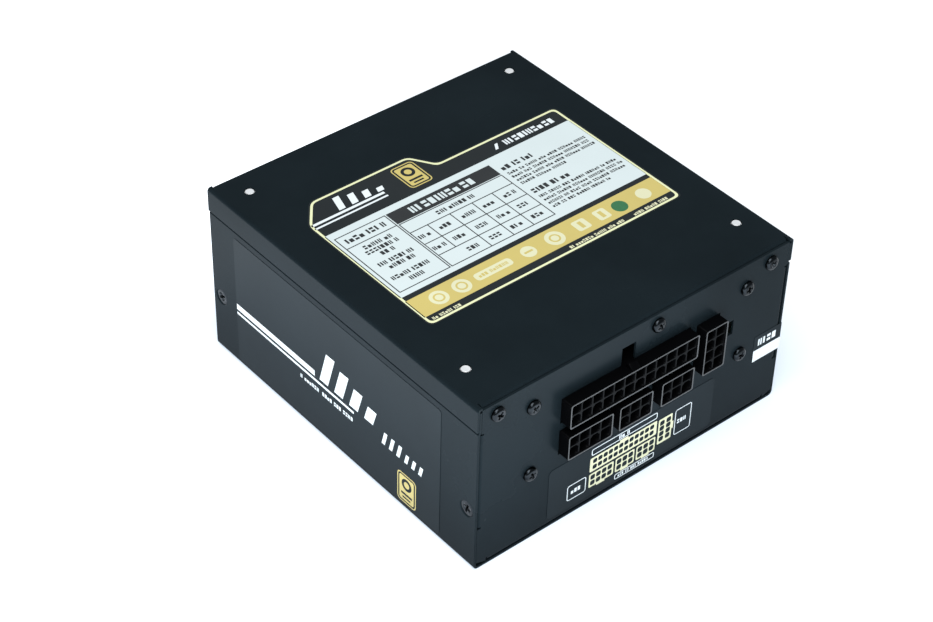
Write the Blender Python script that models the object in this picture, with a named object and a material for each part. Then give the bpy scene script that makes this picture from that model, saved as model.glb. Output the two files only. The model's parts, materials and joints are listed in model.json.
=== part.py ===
"""Slim power supply unit with plug-in output sockets.

The case is two folded steel sheets and a socket panel. The label face is up, the
sockets look along -Y and the mains side looks along +Y. Sizes below are in
millimetres; meshes are scaled to metres when the objects are made.
"""
import math

import bmesh
import bpy
import numpy as np
from mathutils import Matrix, Vector

MM = 0.001

# ---- case ----
CASE_W, CASE_D, CASE_H = 125.0, 130.0, 63.5
SHEET = 0.8
HALF_W, HALF_D = CASE_W / 2, CASE_D / 2
FIT = 0.05                        # air between pieces that sit against each other
LIP_BOTTOM = 54.9                 # lower edge of the tray's side lips
TRAY_BEND, COVER_BEND, PANEL_BEND = 1.2, 1.6, 1.2
WALL_X = HALF_W - 0.3             # outer face of the cover's sides
WALL_TOP = LIP_BOTTOM - 0.95      # here the sides step in, which leaves a groove below the lips
TUCK_X = HALF_W - SHEET - FIT     # outer face of the stepped strip behind the lips
TUCK_TOP = 61.9
FLANGE_X = WALL_X - SHEET - FIT   # outer face of the flanges inside the cover
NARROW_X = TUCK_X - SHEET - FIT   # half-width of the end walls behind the lips
FLANGE_LOW, FLANGE_HIGH, FLANGE_DEPTH = 16.6, 53.0, 9.0
FOLD_HALF, FOLD_GAP = 60.3, 0.5   # half-width of the tray's end folds, and the slit beside them
SIDE_SCREW_Y, SIDE_SCREW_Z = 60.9, 22.3
PAN_DEPTH, PAN_HALF, PAN_CORNER = 3.0, 58.2, 6.0

# ---- socket side ----
SOCKET_PITCH, SOCKET_EDGE = 4.2, 0.4
SOCKET_OUT = 4.0                  # how far the sockets stand out of the panel
SOCKET_DEEP = 12.2
PANEL_SCREW_Z = 58.5
PANEL_SCREW_X = (-55.2, 6.4, 53.2)
BOARD_SCREWS = ((-41.8, 53.4), (43.6, 53.4), (-41.8, 27.2), (43.6, 27.2))
#         name                    columns rows  x      z     latch side
SOCKETS = (("main_socket_24_way", 12, 2, -4.9, 45.2, "top"),
           ("cpu_socket_8_way", 4, 2, -21.8, 32.9, "bottom"),
           ("drive_socket_6_way_left", 3, 2, -3.7, 32.9, "bottom"),
           ("drive_socket_6_way_right", 3, 2, 13.3, 32.9, "bottom"),
           ("graphics_socket_8_way", 2, 4, 28.2, 40.1, "right"))

# ---- mains side ----
INLET_X, INLET_Z = -38.0, 36.0
SWITCH_X, SWITCH_Z = -12.0, 36.0
SWITCH_PIVOT_Y = 62.6
SWITCH_TILT = math.radians(12.0)
MOUNT_X, MOUNT_LOW, MOUNT_HIGH = 56.5, 6.0, 57.5
VENT_FLATS, VENT_PITCH = 6.4, 7.7

# ---- fan ----
FAN_SIZE, FAN_THICK, FAN_HOLES = 120.0, 15.0, 52.5
FAN_LOW = PAN_DEPTH + SHEET + FIT
FAN_HIGH = FAN_LOW + FAN_THICK
DUCT_R = 57.5
HUB_R = 20.0

# ---- boards ----
BOARD_LOW, BOARD_HIGH = 57.0, 58.6
STANDOFFS = ((-53.1, 55.6), (53.0, 56.4), (-53.7, -49.1), (54.0, -48.8))


# ------------------------------------------------------------------ helpers
def clear_scene():
    for item in list(bpy.data.objects):
        bpy.data.objects.remove(item, do_unlink=True)


def material(name, colour, metallic=0.0, roughness=0.5):
    made = bpy.data.materials.get(name)
    if made is None:
        made = bpy.data.materials.new(name)
        made.use_nodes = True
        shader = made.node_tree.nodes["Principled BSDF"]
        shader.inputs["Base Color"].default_value = (*colour, 1.0)
        shader.inputs["Metallic"].default_value = metallic
        shader.inputs["Roughness"].default_value = roughness
        made.diffuse_color = (*colour, 1.0)
    return made


PAINT = ("black_painted_steel", (0.022, 0.026, 0.030), 0.0, 0.42)
NYLON = ("black_nylon", (0.012, 0.012, 0.014), 0.0, 0.45)
STEEL = ("zinc_plated_steel", (0.55, 0.56, 0.58), 1.0, 0.35)
BLACK_STEEL = ("black_plated_steel", (0.03, 0.03, 0.033), 0.6, 0.4)
FOIL = ("printed_film", (0.05, 0.055, 0.06), 0.0, 0.35)
GREEN = ("green_board", (0.02, 0.16, 0.06), 0.0, 0.45)
BRASS = ("brass", (0.72, 0.52, 0.22), 1.0, 0.3)
ALLOY = ("aluminium", (0.68, 0.69, 0.70), 1.0, 0.4)
FERRITE = ("grey_ferrite", (0.09, 0.09, 0.10), 0.0, 0.7)
COPPER = ("enamelled_copper", (0.55, 0.24, 0.09), 0.9, 0.35)
TAPE = ("yellow_tape", (0.75, 0.58, 0.10), 0.0, 0.5)
SLEEVE = ("dark_blue_sleeve", (0.02, 0.04, 0.12), 0.0, 0.35)
EPOXY = ("black_epoxy", (0.02, 0.02, 0.02), 0.0, 0.5)
SHEETING = ("clear_film", (0.70, 0.70, 0.66), 0.0, 0.4)
BRONZE = ("sintered_bronze", (0.45, 0.30, 0.16), 0.9, 0.5)


def face_out(bm):
    bmesh.ops.recalc_face_normals(bm, faces=bm.faces)
    if bm.calc_volume(signed=True) < 0:
        bmesh.ops.reverse_faces(bm, faces=bm.faces)


def finish(name, bm, look, pivot=(0.0, 0.0, 0.0), smooth=False):
    """Make one object from a mesh built in millimetres, with its origin at pivot."""
    bmesh.ops.remove_doubles(bm, verts=bm.verts, dist=0.0005)
    bmesh.ops.triangulate(bm, faces=bm.faces)
    face_out(bm)
    bmesh.ops.translate(bm, verts=bm.verts, vec=-Vector(pivot))
    bmesh.ops.scale(bm, verts=bm.verts, vec=(MM, MM, MM))
    for face in bm.faces:
        face.smooth = smooth
    mesh = bpy.data.meshes.new(name)
    bm.to_mesh(mesh)
    bm.free()
    item = bpy.data.objects.new(name, mesh)
    item.location = Vector(pivot) * MM
    item.data.materials.append(material(*look))
    bpy.context.collection.objects.link(item)
    if smooth:
        mesh.set_sharp_from_angle(angle=math.radians(32))
    return item


def circle(cx, cy, r, n=12, turn=0.0):
    return [(cx + r * math.cos(turn + 2 * math.pi * i / n),
             cy + r * math.sin(turn + 2 * math.pi * i / n)) for i in range(n)]


def rounded(x0, x1, y0, y1, r, n=3):
    """Outline of a rectangle with round corners, n steps to a corner."""
    points = []
    for cx, cy, start in ((x1 - r, y1 - r, 0), (x0 + r, y1 - r, 90),
                          (x0 + r, y0 + r, 180), (x1 - r, y0 + r, 270)):
        for i in range(n + 1):
            a = math.radians(start + 90 * i / n)
            points.append((cx + r * math.cos(a), cy + r * math.sin(a)))
    return points


def chamfered(x0, x1, y0, y1, c):
    return [(x1, y1 - c), (x1 - c, y1), (x0 + c, y1), (x0, y1 - c),
            (x0, y0 + c), (x0 + c, y0), (x1 - c, y0), (x1, y0 + c)]


def flat_z(z):
    return lambda u, v: Vector((u, v, z))


def flat_y(y):
    return lambda u, v: Vector((u, y, v))


def flat_x(x):
    return lambda u, v: Vector((x, u, v))


def fill(bm, loops, place):
    """Fill a flat outline (first loop) with holes (the others)."""
    edges = []
    for loop in loops:
        corners = [bm.verts.new(place(u, v)) for u, v in loop]
        edges += [bm.edges.new(pair) for pair in zip(corners, corners[1:] + corners[:1])]
    made = bmesh.ops.triangle_fill(bm, edges=edges, use_beauty=True, use_dissolve=False)
    return [part for part in made["geom"] if isinstance(part, bmesh.types.BMFace)]


def walls(bm, loop, low, high):
    """Side faces between the same outline at two levels."""
    a = [bm.verts.new(low(u, v)) for u, v in loop]
    b = [bm.verts.new(high(u, v)) for u, v in loop]
    for i in range(len(loop)):
        j = (i + 1) % len(loop)
        bm.faces.new((a[i], a[j], b[j], b[i]))


def prism(bm, loops, low, high):
    """A plate with holes between two levels."""
    fill(bm, loops, low)
    fill(bm, loops, high)
    for loop in loops:
        walls(bm, loop, low, high)
    return bm


def block(bm, x0, x1, y0, y1, z0, z1, c=0.0):
    loop = chamfered(x0, x1, y0, y1, c) if c else [(x0, y0), (x1, y0), (x1, y1), (x0, y1)]
    return prism(bm, [loop], flat_z(z0), flat_z(z1))


def band(bm, sections):
    """Faces between a row of matching point lists."""
    rows = [[bm.verts.new(p) for p in section] for section in sections]
    for a, b in zip(rows, rows[1:]):
        for i in range(len(a) - 1):
            bm.faces.new((a[i], a[i + 1], b[i + 1], b[i]))


def loft(bm, sections):
    """A closed body through matching closed outlines, with flat ends."""
    rows = [[bm.verts.new(p) for p in section] for section in sections]
    for a, b in zip(rows, rows[1:]):
        for i in range(len(a)):
            j = (i + 1) % len(a)
            bm.faces.new((a[i], a[j], b[j], b[i]))
    bm.faces.new(rows[0])
    bm.faces.new(rows[-1])


def lathe(bm, profile, n, axis=(0.0, 0.0), turn=0.0):
    """Turn a profile of (radius, height) pairs about a vertical axis."""
    rings = []
    for r, z in profile:
        if r < 1e-6:
            rings.append([bm.verts.new((axis[0], axis[1], z))])
        else:
            rings.append([bm.verts.new((x, y, z)) for x, y in circle(*axis, r, n, turn)])
    pairs = list(zip(rings, rings[1:]))
    if len(rings[0]) > 1 and len(rings[-1]) > 1:
        pairs.append((rings[-1], rings[0]))
    for a, b in pairs:
        for i in range(n):
            j = (i + 1) % n
            if len(a) == 1 and len(b) > 1:
                bm.faces.new((a[0], b[j], b[i]))
            elif len(b) == 1 and len(a) > 1:
                bm.faces.new((a[i], a[j], b[0]))
            elif len(a) > 1:
                bm.faces.new((a[i], a[j], b[j], b[i]))
    return bm


def tube(bm, path, r, n=6):
    """A round cord along a list of points."""
    sections = []
    for i, point in enumerate(path):
        point = Vector(point)
        before, after = Vector(path[max(i - 1, 0)]), Vector(path[min(i + 1, len(path) - 1)])
        along = (after - before).normalized()
        side = along.cross(Vector((1.0, 0.0, 0.0))).normalized()
        up = along.cross(side)
        sections.append([point + r * (math.cos(a) * side + math.sin(a) * up)
                         for a in (2 * math.pi * k / n for k in range(n))])
    loft(bm, sections)


def thicken(bm, depth, outward):
    """Give a one-layer folded sheet its thickness, on the inner side."""
    bmesh.ops.remove_doubles(bm, verts=bm.verts, dist=0.0005)
    bmesh.ops.recalc_face_normals(bm, faces=bm.faces)
    bm.normal_update()
    largest = max(bm.faces, key=lambda face: abs(face.normal.dot(outward)) * face.calc_area())
    if largest.normal.dot(outward) < 0:
        bmesh.ops.reverse_faces(bm, faces=bm.faces)
        bm.normal_update()
    outer_faces = list(bm.faces)
    rims = [edge for edge in bm.edges if len(edge.link_faces) == 1]
    inner = {}
    for vert in list(bm.verts):
        normals = []
        for face in vert.link_faces:
            if all(face.normal.dot(known) < 0.9999 for known in normals):
                normals.append(face.normal.copy())
        shift, *_ = np.linalg.lstsq(np.array(normals), -depth * np.ones(len(normals)), rcond=None)
        inner[vert] = bm.verts.new(vert.co + Vector(shift))
    for face in outer_faces:
        bm.faces.new([inner[vert] for vert in reversed(face.verts)])
    for edge in rims:
        a, b = edge.verts
        bm.faces.new((a, b, inner[b], inner[a]))
    return inner


def sink(inner, outer_r, inner_r, centre, radial):
    """Countersink a round hole: draw its inner rim in towards the centre."""
    centre = Vector(centre)
    for vert, partner in inner.items():
        arm = (vert.co - centre) * Vector(radial)
        if abs(arm.length - outer_r) < 0.01 and abs((vert.co - centre).length - outer_r) < 0.01:
            partner.co -= arm.normalized() * (outer_r - inner_r)


def arc(cx, cy, r, start, end, n):
    return [(cx + r * math.cos(math.radians(start + (end - start) * i / n)),
             cy + r * math.sin(math.radians(start + (end - start) * i / n)))
            for i in range(n + 1)]


def solid(name, bm, look=NYLON):
    """A temporary object used by join_solids and cut_solid."""
    return finish(name, bm, look)


def join_solids(item, others, operation="UNION"):
    """Apply exact Booleans to one object and drop the helpers."""
    for other in others:
        other.hide_render = True
        other.display_type = "WIRE"
        step = item.modifiers.new("step", "BOOLEAN")
        step.solver = "EXACT"
        step.operation = operation
        step.object = other
        bpy.context.view_layer.update()
        shape = item.evaluated_get(bpy.context.evaluated_depsgraph_get())
        mesh = bpy.data.meshes.new_from_object(shape)
        item.modifiers.clear()
        item.data = mesh
        bpy.data.objects.remove(other, do_unlink=True)
    tidy_mesh(item)
    return item


def tidy_mesh(item):
    bm = bmesh.new()
    bm.from_mesh(item.data)
    bmesh.ops.remove_doubles(bm, verts=bm.verts, dist=0.000002)
    bmesh.ops.dissolve_degenerate(bm, dist=0.000002, edges=bm.edges)
    bmesh.ops.dissolve_limit(bm, angle_limit=math.radians(0.2), verts=bm.verts, edges=bm.edges)
    bmesh.ops.triangulate(bm, faces=bm.faces)
    face_out(bm)
    bm.to_mesh(item.data)
    bm.free()
    item.data.name = item.name


# ------------------------------------------------------------- folded sheets
def side_flanges(bm, face_y, inward):
    """Two flanges at the sides of an end wall, with a threaded hole each."""
    bend = face_y + inward * PANEL_BEND
    end = face_y + inward * FLANGE_DEPTH
    for side in (-1, 1):
        line = side * (FLANGE_X - PANEL_BEND)
        sections = []
        for i in range(4):
            a = math.radians(90 * i / 3)
            x = line + side * PANEL_BEND * math.sin(a)
            y = bend - inward * PANEL_BEND * math.cos(a)
            sections.append([(x, y, FLANGE_LOW), (x, y, FLANGE_HIGH)])
        band(bm, sections)
        low_y, high_y = sorted((bend, end))
        outline = [(low_y, FLANGE_LOW), (high_y, FLANGE_LOW),
                   (high_y, FLANGE_HIGH), (low_y, FLANGE_HIGH)]
        hole = circle(math.copysign(SIDE_SCREW_Y, face_y), SIDE_SCREW_Z, 1.62, 12)
        fill(bm, [outline, hole], flat_x(side * FLANGE_X))


def end_wall_outline(top, neck):
    """Outline of an end wall in (x, z), with bend reliefs for the side flanges.

    neck: half-width of the strip that runs up into a fold, or None."""
    edge, line, gap = FLANGE_X, FLANGE_X - PANEL_BEND, 0.6
    right = [(NARROW_X, top if neck is None else top - 0.7), (NARROW_X, FLANGE_HIGH + gap),
             (line - 0.2, FLANGE_HIGH + gap), (line - 0.2, FLANGE_HIGH), (line, FLANGE_HIGH),
             (line, FLANGE_LOW), (line - 0.2, FLANGE_LOW), (line - 0.2, FLANGE_LOW - gap),
             (edge, FLANGE_LOW - gap), (edge, 2.4), (edge - 1.4, 0.9)]
    if neck is not None:
        right = [(neck, top), (neck, top - 0.7)] + right
    left = [(-x, z) for x, z in reversed(right)]
    return right + left


def hexagons():
    """Vent openings on the mains side, in rows."""
    holes = []
    corner = VENT_FLATS / math.sqrt(3)
    rows = int((56.0 - 8.0) / (VENT_PITCH * math.sqrt(3) / 2)) + 1
    for row in range(rows):
        z = 9.0 + row * VENT_PITCH * math.sqrt(3) / 2
        for column in range(-8, 9):
            x = (column + 0.5 * (row % 2)) * VENT_PITCH - 1.6
            above_inlet = x < 1.5 and z > 19.0
            corner_hole = abs(x) > 48.5 and (z < 12.0 or z > 52.0)
            if above_inlet or corner_hole or not -53.0 < x < 54.0 or z > 57.0:
                continue
            holes.append(circle(x, z, corner, 6, math.radians(30)))
    return holes


def base_tray():
    """Label-face sheet: plate, two side lips, mains wall and a front fold."""
    bm = bmesh.new()
    lip = HALF_W - TRAY_BEND
    front_fold = HALF_D - SHEET - FIT - TRAY_BEND
    rear_fold = HALF_D - TRAY_BEND
    ear, fold = FOLD_HALF + FOLD_GAP, FOLD_HALF
    rear = [(lip, HALF_D), (ear, HALF_D), (ear, rear_fold - 0.3), (fold, rear_fold - 0.3),
            (fold, rear_fold)]
    front = [(lip, -HALF_D), (ear, -HALF_D), (ear, -front_fold + 0.3), (fold, -front_fold + 0.3),
             (fold, -front_fold)]
    right = list(reversed(front)) + rear
    outline = right + [(-x, y) for x, y in reversed(right)]
    fill(bm, [outline] + [circle(x, y, 1.75, 14) for x, y in STANDOFFS], flat_z(CASE_H))
    bend_z = CASE_H - TRAY_BEND
    for side in (-1, 1):
        curve = arc(lip, bend_z, TRAY_BEND, 90, 0, 4) + [(HALF_W, LIP_BOTTOM)]
        band(bm, [[(side * x, -HALF_D, z), (side * x, HALF_D, z)] for x, z in curve])
    for start, sign in ((front_fold, -1), (rear_fold, 1)):
        curve = arc(start, bend_z, TRAY_BEND, 90, 0, 4)
        band(bm, [[(-fold, sign * y, z), (fold, sign * y, z)] for y, z in curve])
    tab = [(-fold, 55.6), (fold, 55.6), (fold, bend_z), (-fold, bend_z)]
    taps = [circle(x, PANEL_SCREW_Z, 1.62, 12) for x in PANEL_SCREW_X]
    fill(bm, [tab] + taps, flat_y(-front_fold - TRAY_BEND))
    holes = [inlet_outline(27.4, 20.0, 3.2), switch_outline(13.2, 19.5)]
    holes += [circle(x, z, 1.6, 12) for x in (-MOUNT_X, MOUNT_X) for z in (MOUNT_LOW, MOUNT_HIGH)]
    fill(bm, [end_wall_outline(bend_z, fold)] + holes + hexagons(), flat_y(HALF_D))
    side_flanges(bm, HALF_D, -1)
    thicken(bm, SHEET, Vector((0, 0, 1)))
    return finish("base_tray", bm, PAINT)


def fan_cover():
    """Underside and both sides in one sheet, with a pressed pan for the fan."""
    bm = bmesh.new()
    flat = WALL_X - COVER_BEND
    plate = [(flat, -HALF_D), (flat, HALF_D), (-flat, HALF_D), (-flat, -HALF_D)]
    rim = rounded(-PAN_HALF, PAN_HALF, -PAN_HALF, PAN_HALF, PAN_CORNER, 4)
    foot_half = PAN_HALF - 1.2
    foot = rounded(-foot_half, foot_half, -foot_half, foot_half, PAN_CORNER - 1.2, 4)
    fill(bm, [plate, rim], flat_z(0.0))
    sections = [[(x, y, 0.0) for x, y in rim + rim[:1]],
                [(x, y, PAN_DEPTH) for x, y in foot + foot[:1]]]
    band(bm, sections)
    screw_holes = [circle(x, y, 2.5, 12) for x in (-FAN_HOLES, FAN_HOLES)
                   for y in (-FAN_HOLES, FAN_HOLES)]
    fill(bm, [foot, circle(0, 0, 56.0, 40)] + screw_holes, flat_z(PAN_DEPTH))
    for side in (-1, 1):
        curve = arc(flat, COVER_BEND, COVER_BEND, -90, 0, 4)
        band(bm, [[(side * x, -HALF_D, z), (side * x, HALF_D, z)] for x, z in curve])
        wall = [(-HALF_D, COVER_BEND), (HALF_D, COVER_BEND), (HALF_D, WALL_TOP),
                (-HALF_D, WALL_TOP)]
        screws = [circle(y, SIDE_SCREW_Z, 2.95, 16) for y in (-SIDE_SCREW_Y, SIDE_SCREW_Y)]
        fill(bm, [wall] + screws, flat_x(side * WALL_X))
        step = [(WALL_X, WALL_TOP), (TUCK_X, WALL_TOP + WALL_X - TUCK_X), (TUCK_X, TUCK_TOP)]
        band(bm, [[(side * x, -HALF_D, z), (side * x, HALF_D, z)] for x, z in step])
    inner = thicken(bm, SHEET, Vector((0, 0, -1)))
    for side in (-1, 1):
        for y in (-SIDE_SCREW_Y, SIDE_SCREW_Y):
            sink(inner, 2.95, 2.15, (side * WALL_X, y, SIDE_SCREW_Z), (0, 1, 1))
    return finish("fan_cover", bm, PAINT)


def socket_size(columns, rows):
    return columns * SOCKET_PITCH + 2 * SOCKET_EDGE, rows * SOCKET_PITCH + 2 * SOCKET_EDGE


def socket_window(columns, rows, x, z, latch):
    """Cutout in the panel for one socket and its latch ramp, in (x, z)."""
    w, h = socket_size(columns, rows)
    c, n = 0.25, 2.75
    t = (4.9 if latch == "bottom" else 6.8) - c
    x0, x1, z0, z1 = x - w / 2 - c, x + w / 2 + c, z - h / 2 - c, z + h / 2 + c
    if latch == "top":
        return [(x0, z0), (x1, z0), (x1, z1), (x + n, z1), (x + n, z1 + t), (x - n, z1 + t),
                (x - n, z1), (x0, z1)]
    if latch == "bottom":
        return [(x0, z0), (x - n, z0), (x - n, z0 - t), (x + n, z0 - t), (x + n, z0), (x1, z0),
                (x1, z1), (x0, z1)]
    return [(x0, z0), (x1, z0), (x1, z - n), (x1 + t, z - n), (x1 + t, z + n), (x1, z + n),
            (x1, z1), (x0, z1)]


def connector_panel():
    """Flat end wall that carries the sockets, folded back at sides and foot."""
    bm = bmesh.new()
    outline = end_wall_outline(62.6, None)
    foot_line = 0.9 + PANEL_BEND
    keep = [(x, z) for x, z in outline if z > 2.0]
    half = 57.0
    right = [p for p in keep if p[0] > 0] + [(half + 0.6, 1.2), (half + 0.6, foot_line + 0.3),
                                            (half, foot_line + 0.3), (half, foot_line)]
    outline = right + [(-x, z) for x, z in reversed(right)]
    holes = [socket_window(*entry[1:]) for entry in SOCKETS]
    holes += [circle(x, PANEL_SCREW_Z, 1.7, 12) for x in PANEL_SCREW_X]
    holes += [circle(x, z, 1.7, 12) for x, z in BOARD_SCREWS]
    fill(bm, [outline] + holes, flat_y(-HALF_D))
    side_flanges(bm, -HALF_D, 1)
    curve = arc(-HALF_D + PANEL_BEND, foot_line, PANEL_BEND, 180, 270, 3) + [(-60.4, 0.9)]
    band(bm, [[(-half, y, z), (half, y, z)] for y, z in curve])
    thicken(bm, SHEET, Vector((0, -1, 0)))
    return finish("connector_panel", bm, PAINT)


# ------------------------------------------------------------------- printed
def printed_films():
    low, high = CASE_H + FIT, CASE_H + FIT + 0.1
    outline = [(50.5, 29.8), (50.1, 30.9), (49.0, 31.3), (1.5, 31.3), (-3.4, 39.2), (-4.6, 39.8),
               (-41.6, 39.8), (-42.8, 39.2), (-50.0, 30.2), (-50.0, -27.2), (-49.4, -28.5),
               (-48.2, -29.0), (48.6, -29.0), (49.9, -28.5), (50.5, -27.2)]
    finish("rating_label", prism(bmesh.new(), [outline], flat_z(low), flat_z(high)), FOIL)
    x = -WALL_X - FIT
    outline = rounded(-49.0, 52.4, 2.2, 51.8, 1.0, 2)
    finish("side_decal", prism(bmesh.new(), [outline], flat_x(x), flat_x(x - 0.1)), FOIL)
    y = -HALF_D - FIT
    outline = rounded(-34.0, 34.0, 3.0, 22.9, 1.6, 2)
    finish("socket_chart_decal", prism(bmesh.new(), [outline], flat_y(y), flat_y(y - 0.1)), FOIL)
    x = WALL_X + FIT
    outline = [(50.4, y), (50.4, y - 0.1), (x + 0.1, y - 0.1), (x + 0.1, -54.6), (x, -54.6), (x, y)]
    finish("seal_sticker", prism(bmesh.new(), [outline], flat_z(19.6), flat_z(30.0)), FOIL)


# ------------------------------------------------------------------- sockets
def socket_cell(bm, x, z, front, turned):
    """One square pocket with a pin; turned pockets have two cut corners."""
    h, deep, pin = 1.7, 9.5, 0.55
    loop = [(x - h, z - h), (x + h, z - h), (x + h, z + h), (x - h, z + h)]
    if turned:
        c = 0.9
        loop = [(x - h, z - h), (x + h, z - h), (x + h, z + h - c), (x + h - c, z + h),
                (x - h + c, z + h), (x - h, z + h - c)]
    post = [(x - pin, z - pin), (x + pin, z - pin), (x + pin, z + pin), (x - pin, z + pin)]
    floor, tip = flat_y(front + deep), flat_y(front + 1.6)
    walls(bm, loop, flat_y(front), floor)
    fill(bm, [loop, post], floor)
    walls(bm, post, floor, tip)
    fill(bm, [post], tip)
    return loop


def latch_ramp(name, x, z, w, h, latch):
    """The wedge that a plug's catch rides over."""
    front, wide, tall = -HALF_D - SOCKET_OUT, 1.6, 1.75
    profile = [(-0.3, 0.15), (0.0, 0.15), (tall, 1.9), (tall, 3.3), (-0.3, 3.3)]
    sections = []
    for across in (-wide, wide):
        row = []
        for rise, back in profile:
            y = front + back
            if latch == "top":
                row.append((x + across, y, z + h / 2 + rise))
            elif latch == "bottom":
                row.append((x + across, y, z - h / 2 - rise))
            else:
                row.append((x + w / 2 + rise, y, z + across))
        sections.append(row)
    bm = bmesh.new()
    loft(bm, sections)
    return solid(name, bm)


def socket(name, columns, rows, x, z, latch):
    w, h = socket_size(columns, rows)
    front, back = -HALF_D - SOCKET_OUT, -HALF_D - SOCKET_OUT + SOCKET_DEEP
    bm = bmesh.new()
    cells = []
    for column in range(columns):
        for row in range(rows):
            cx = x + (column - (columns - 1) / 2) * SOCKET_PITCH
            cz = z + (row - (rows - 1) / 2) * SOCKET_PITCH
            cells.append(socket_cell(bm, cx, cz, front, (column + row) % 2 == 0))
    outer = chamfered(x - w / 2, x + w / 2, z - h / 2, z + h / 2, 0.6)
    inner = chamfered(x - w / 2 + 0.25, x + w / 2 - 0.25, z - h / 2 + 0.25, z + h / 2 - 0.25, 0.5)
    fill(bm, [inner] + cells, flat_y(front))
    band(bm, [[flat_y(front)(u, v) for u, v in inner + inner[:1]],
              [flat_y(front + 0.25)(u, v) for u, v in outer + outer[:1]],
              [flat_y(back)(u, v) for u, v in outer + outer[:1]]])
    fill(bm, [outer], flat_y(back))
    item = finish(name, bm, NYLON)
    return join_solids(item, [latch_ramp("ramp", x, z, w, h, latch)])


def socket_board():
    back = -HALF_D - SOCKET_OUT + SOCKET_DEEP + FIT
    outline = chamfered(-46.6, 48.4, 23.6, 56.6, 1.0)
    holes = [circle(x, z, 1.6, 12) for x, z in BOARD_SCREWS]
    finish("socket_board", prism(bmesh.new(), [outline] + holes, flat_y(back), flat_y(back + 1.6)),
           GREEN)
    for side, name in ((-1, "board_bracket_left"), (1, "board_bracket_right")):
        x = BOARD_SCREWS[0][0] if side < 0 else BOARD_SCREWS[1][0]
        board_bracket(name, x, side, -HALF_D + SHEET + FIT, back - FIT)


def board_bracket(name, x, side, front, back):
    """A C-shaped steel strip that spaces the socket board off the panel."""
    bm = bmesh.new()
    z0, z1, t = 24.4, 55.2, 1.0
    edge, web = x + side * 3.4, x - side * 3.4
    fill_plane = [(min(web, edge), z0), (max(web, edge), z0), (max(web, edge), z1),
                  (min(web, edge), z1)]
    holes = [circle(x, z, 1.62, 12) for z in (BOARD_SCREWS[0][1], BOARD_SCREWS[2][1])]
    fill(bm, [fill_plane] + holes, flat_y(front))
    fill(bm, [fill_plane] + holes, flat_y(back))
    band(bm, [[(web, front, z0), (web, front, z1)], [(web, back, z0), (web, back, z1)]])
    thicken(bm, t, Vector((0, -1, 0)))
    finish(name, bm, STEEL)


# -------------------------------------------------------------------- screws
def cross_outline(arm, wide):
    return [(arm, -wide), (arm, wide), (wide, wide), (wide, arm), (-wide, arm), (-wide, wide),
            (-arm, wide), (-arm, -wide), (-wide, -wide), (-wide, -arm), (wide, -arm), (wide, -wide)]


def screw(name, at, aim, profile, drive, look=BLACK_STEEL, n=12):
    """A screw along aim (pointing out of the head); profile runs head to tip."""
    bm = bmesh.new()
    arm, wide, deep = drive
    top_r, top_z = profile[0]
    cross = cross_outline(arm, wide)
    foot = cross_outline(arm * 0.72, wide * 0.8)
    fill(bm, [circle(0, 0, top_r, n), cross], flat_z(top_z))
    band(bm, [[(x, y, top_z) for x, y in cross + cross[:1]],
              [(x, y, top_z - deep) for x, y in foot + foot[:1]]])
    fill(bm, [foot], flat_z(top_z - deep))
    rows = [[(x, y, z) for x, y in circle(0, 0, r, n) + circle(0, 0, r, n)[:1]] for r, z in profile]
    band(bm, rows)
    fill(bm, [circle(0, 0, profile[-1][0], n)], flat_z(profile[-1][1]))
    turn = Vector((0, 0, 1)).rotation_difference(Vector(aim)).to_matrix().to_4x4()
    bmesh.ops.transform(bm, matrix=Matrix.Translation(Vector(at)) @ turn, verts=bm.verts)
    return finish(name, bm, look, smooth=True)


PAN_HEAD = [(1.7, 1.4), (2.3, 1.05), (2.5, 0.5), (2.5, 0.0), (1.5, 0.0), (1.5, -4.0), (1.1, -4.5)]
FLAT_HEAD = [(2.6, 0.0), (2.05, -0.55), (1.5, -0.57), (1.5, -4.6), (1.1, -5.0)]
HEAD_SUNK = 0.25                  # how far the flat heads lie below the side's face
FAN_HEAD = [(2.6, 1.3), (3.4, 0.9), (3.4, 0.0), (2.2, 0.0), (2.2, -9.0), (1.5, -9.8)]


def all_screws():
    y = -HALF_D - 0.02
    for label, x in zip(("left", "middle", "right"), PANEL_SCREW_X):
        screw(f"panel_screw_{label}", (x, y, PANEL_SCREW_Z), (0, -1, 0), PAN_HEAD, (1.2, 0.34, 0.9))
    for label, (x, z) in zip(("upper_left", "upper_right", "lower_left", "lower_right"),
                             BOARD_SCREWS):
        screw(f"board_screw_{label}", (x, y, z), (0, -1, 0), PAN_HEAD, (1.2, 0.34, 0.9))
    for side, side_name in ((-1, "left"), (1, "right")):
        for sign, end in ((-1, "front"), (1, "rear")):
            screw(f"cover_screw_{side_name}_{end}",
                  (side * (WALL_X - HEAD_SUNK), sign * SIDE_SCREW_Y, SIDE_SCREW_Z), (side, 0, 0),
                  FLAT_HEAD, (1.45, 0.4, 0.95))
            screw(f"fan_screw_{side_name}_{end}",
                  (side * FAN_HOLES, sign * FAN_HOLES, PAN_DEPTH - 0.95), (0, 0, -1), FAN_HEAD,
                  (1.6, 0.45, 0.8))


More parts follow.
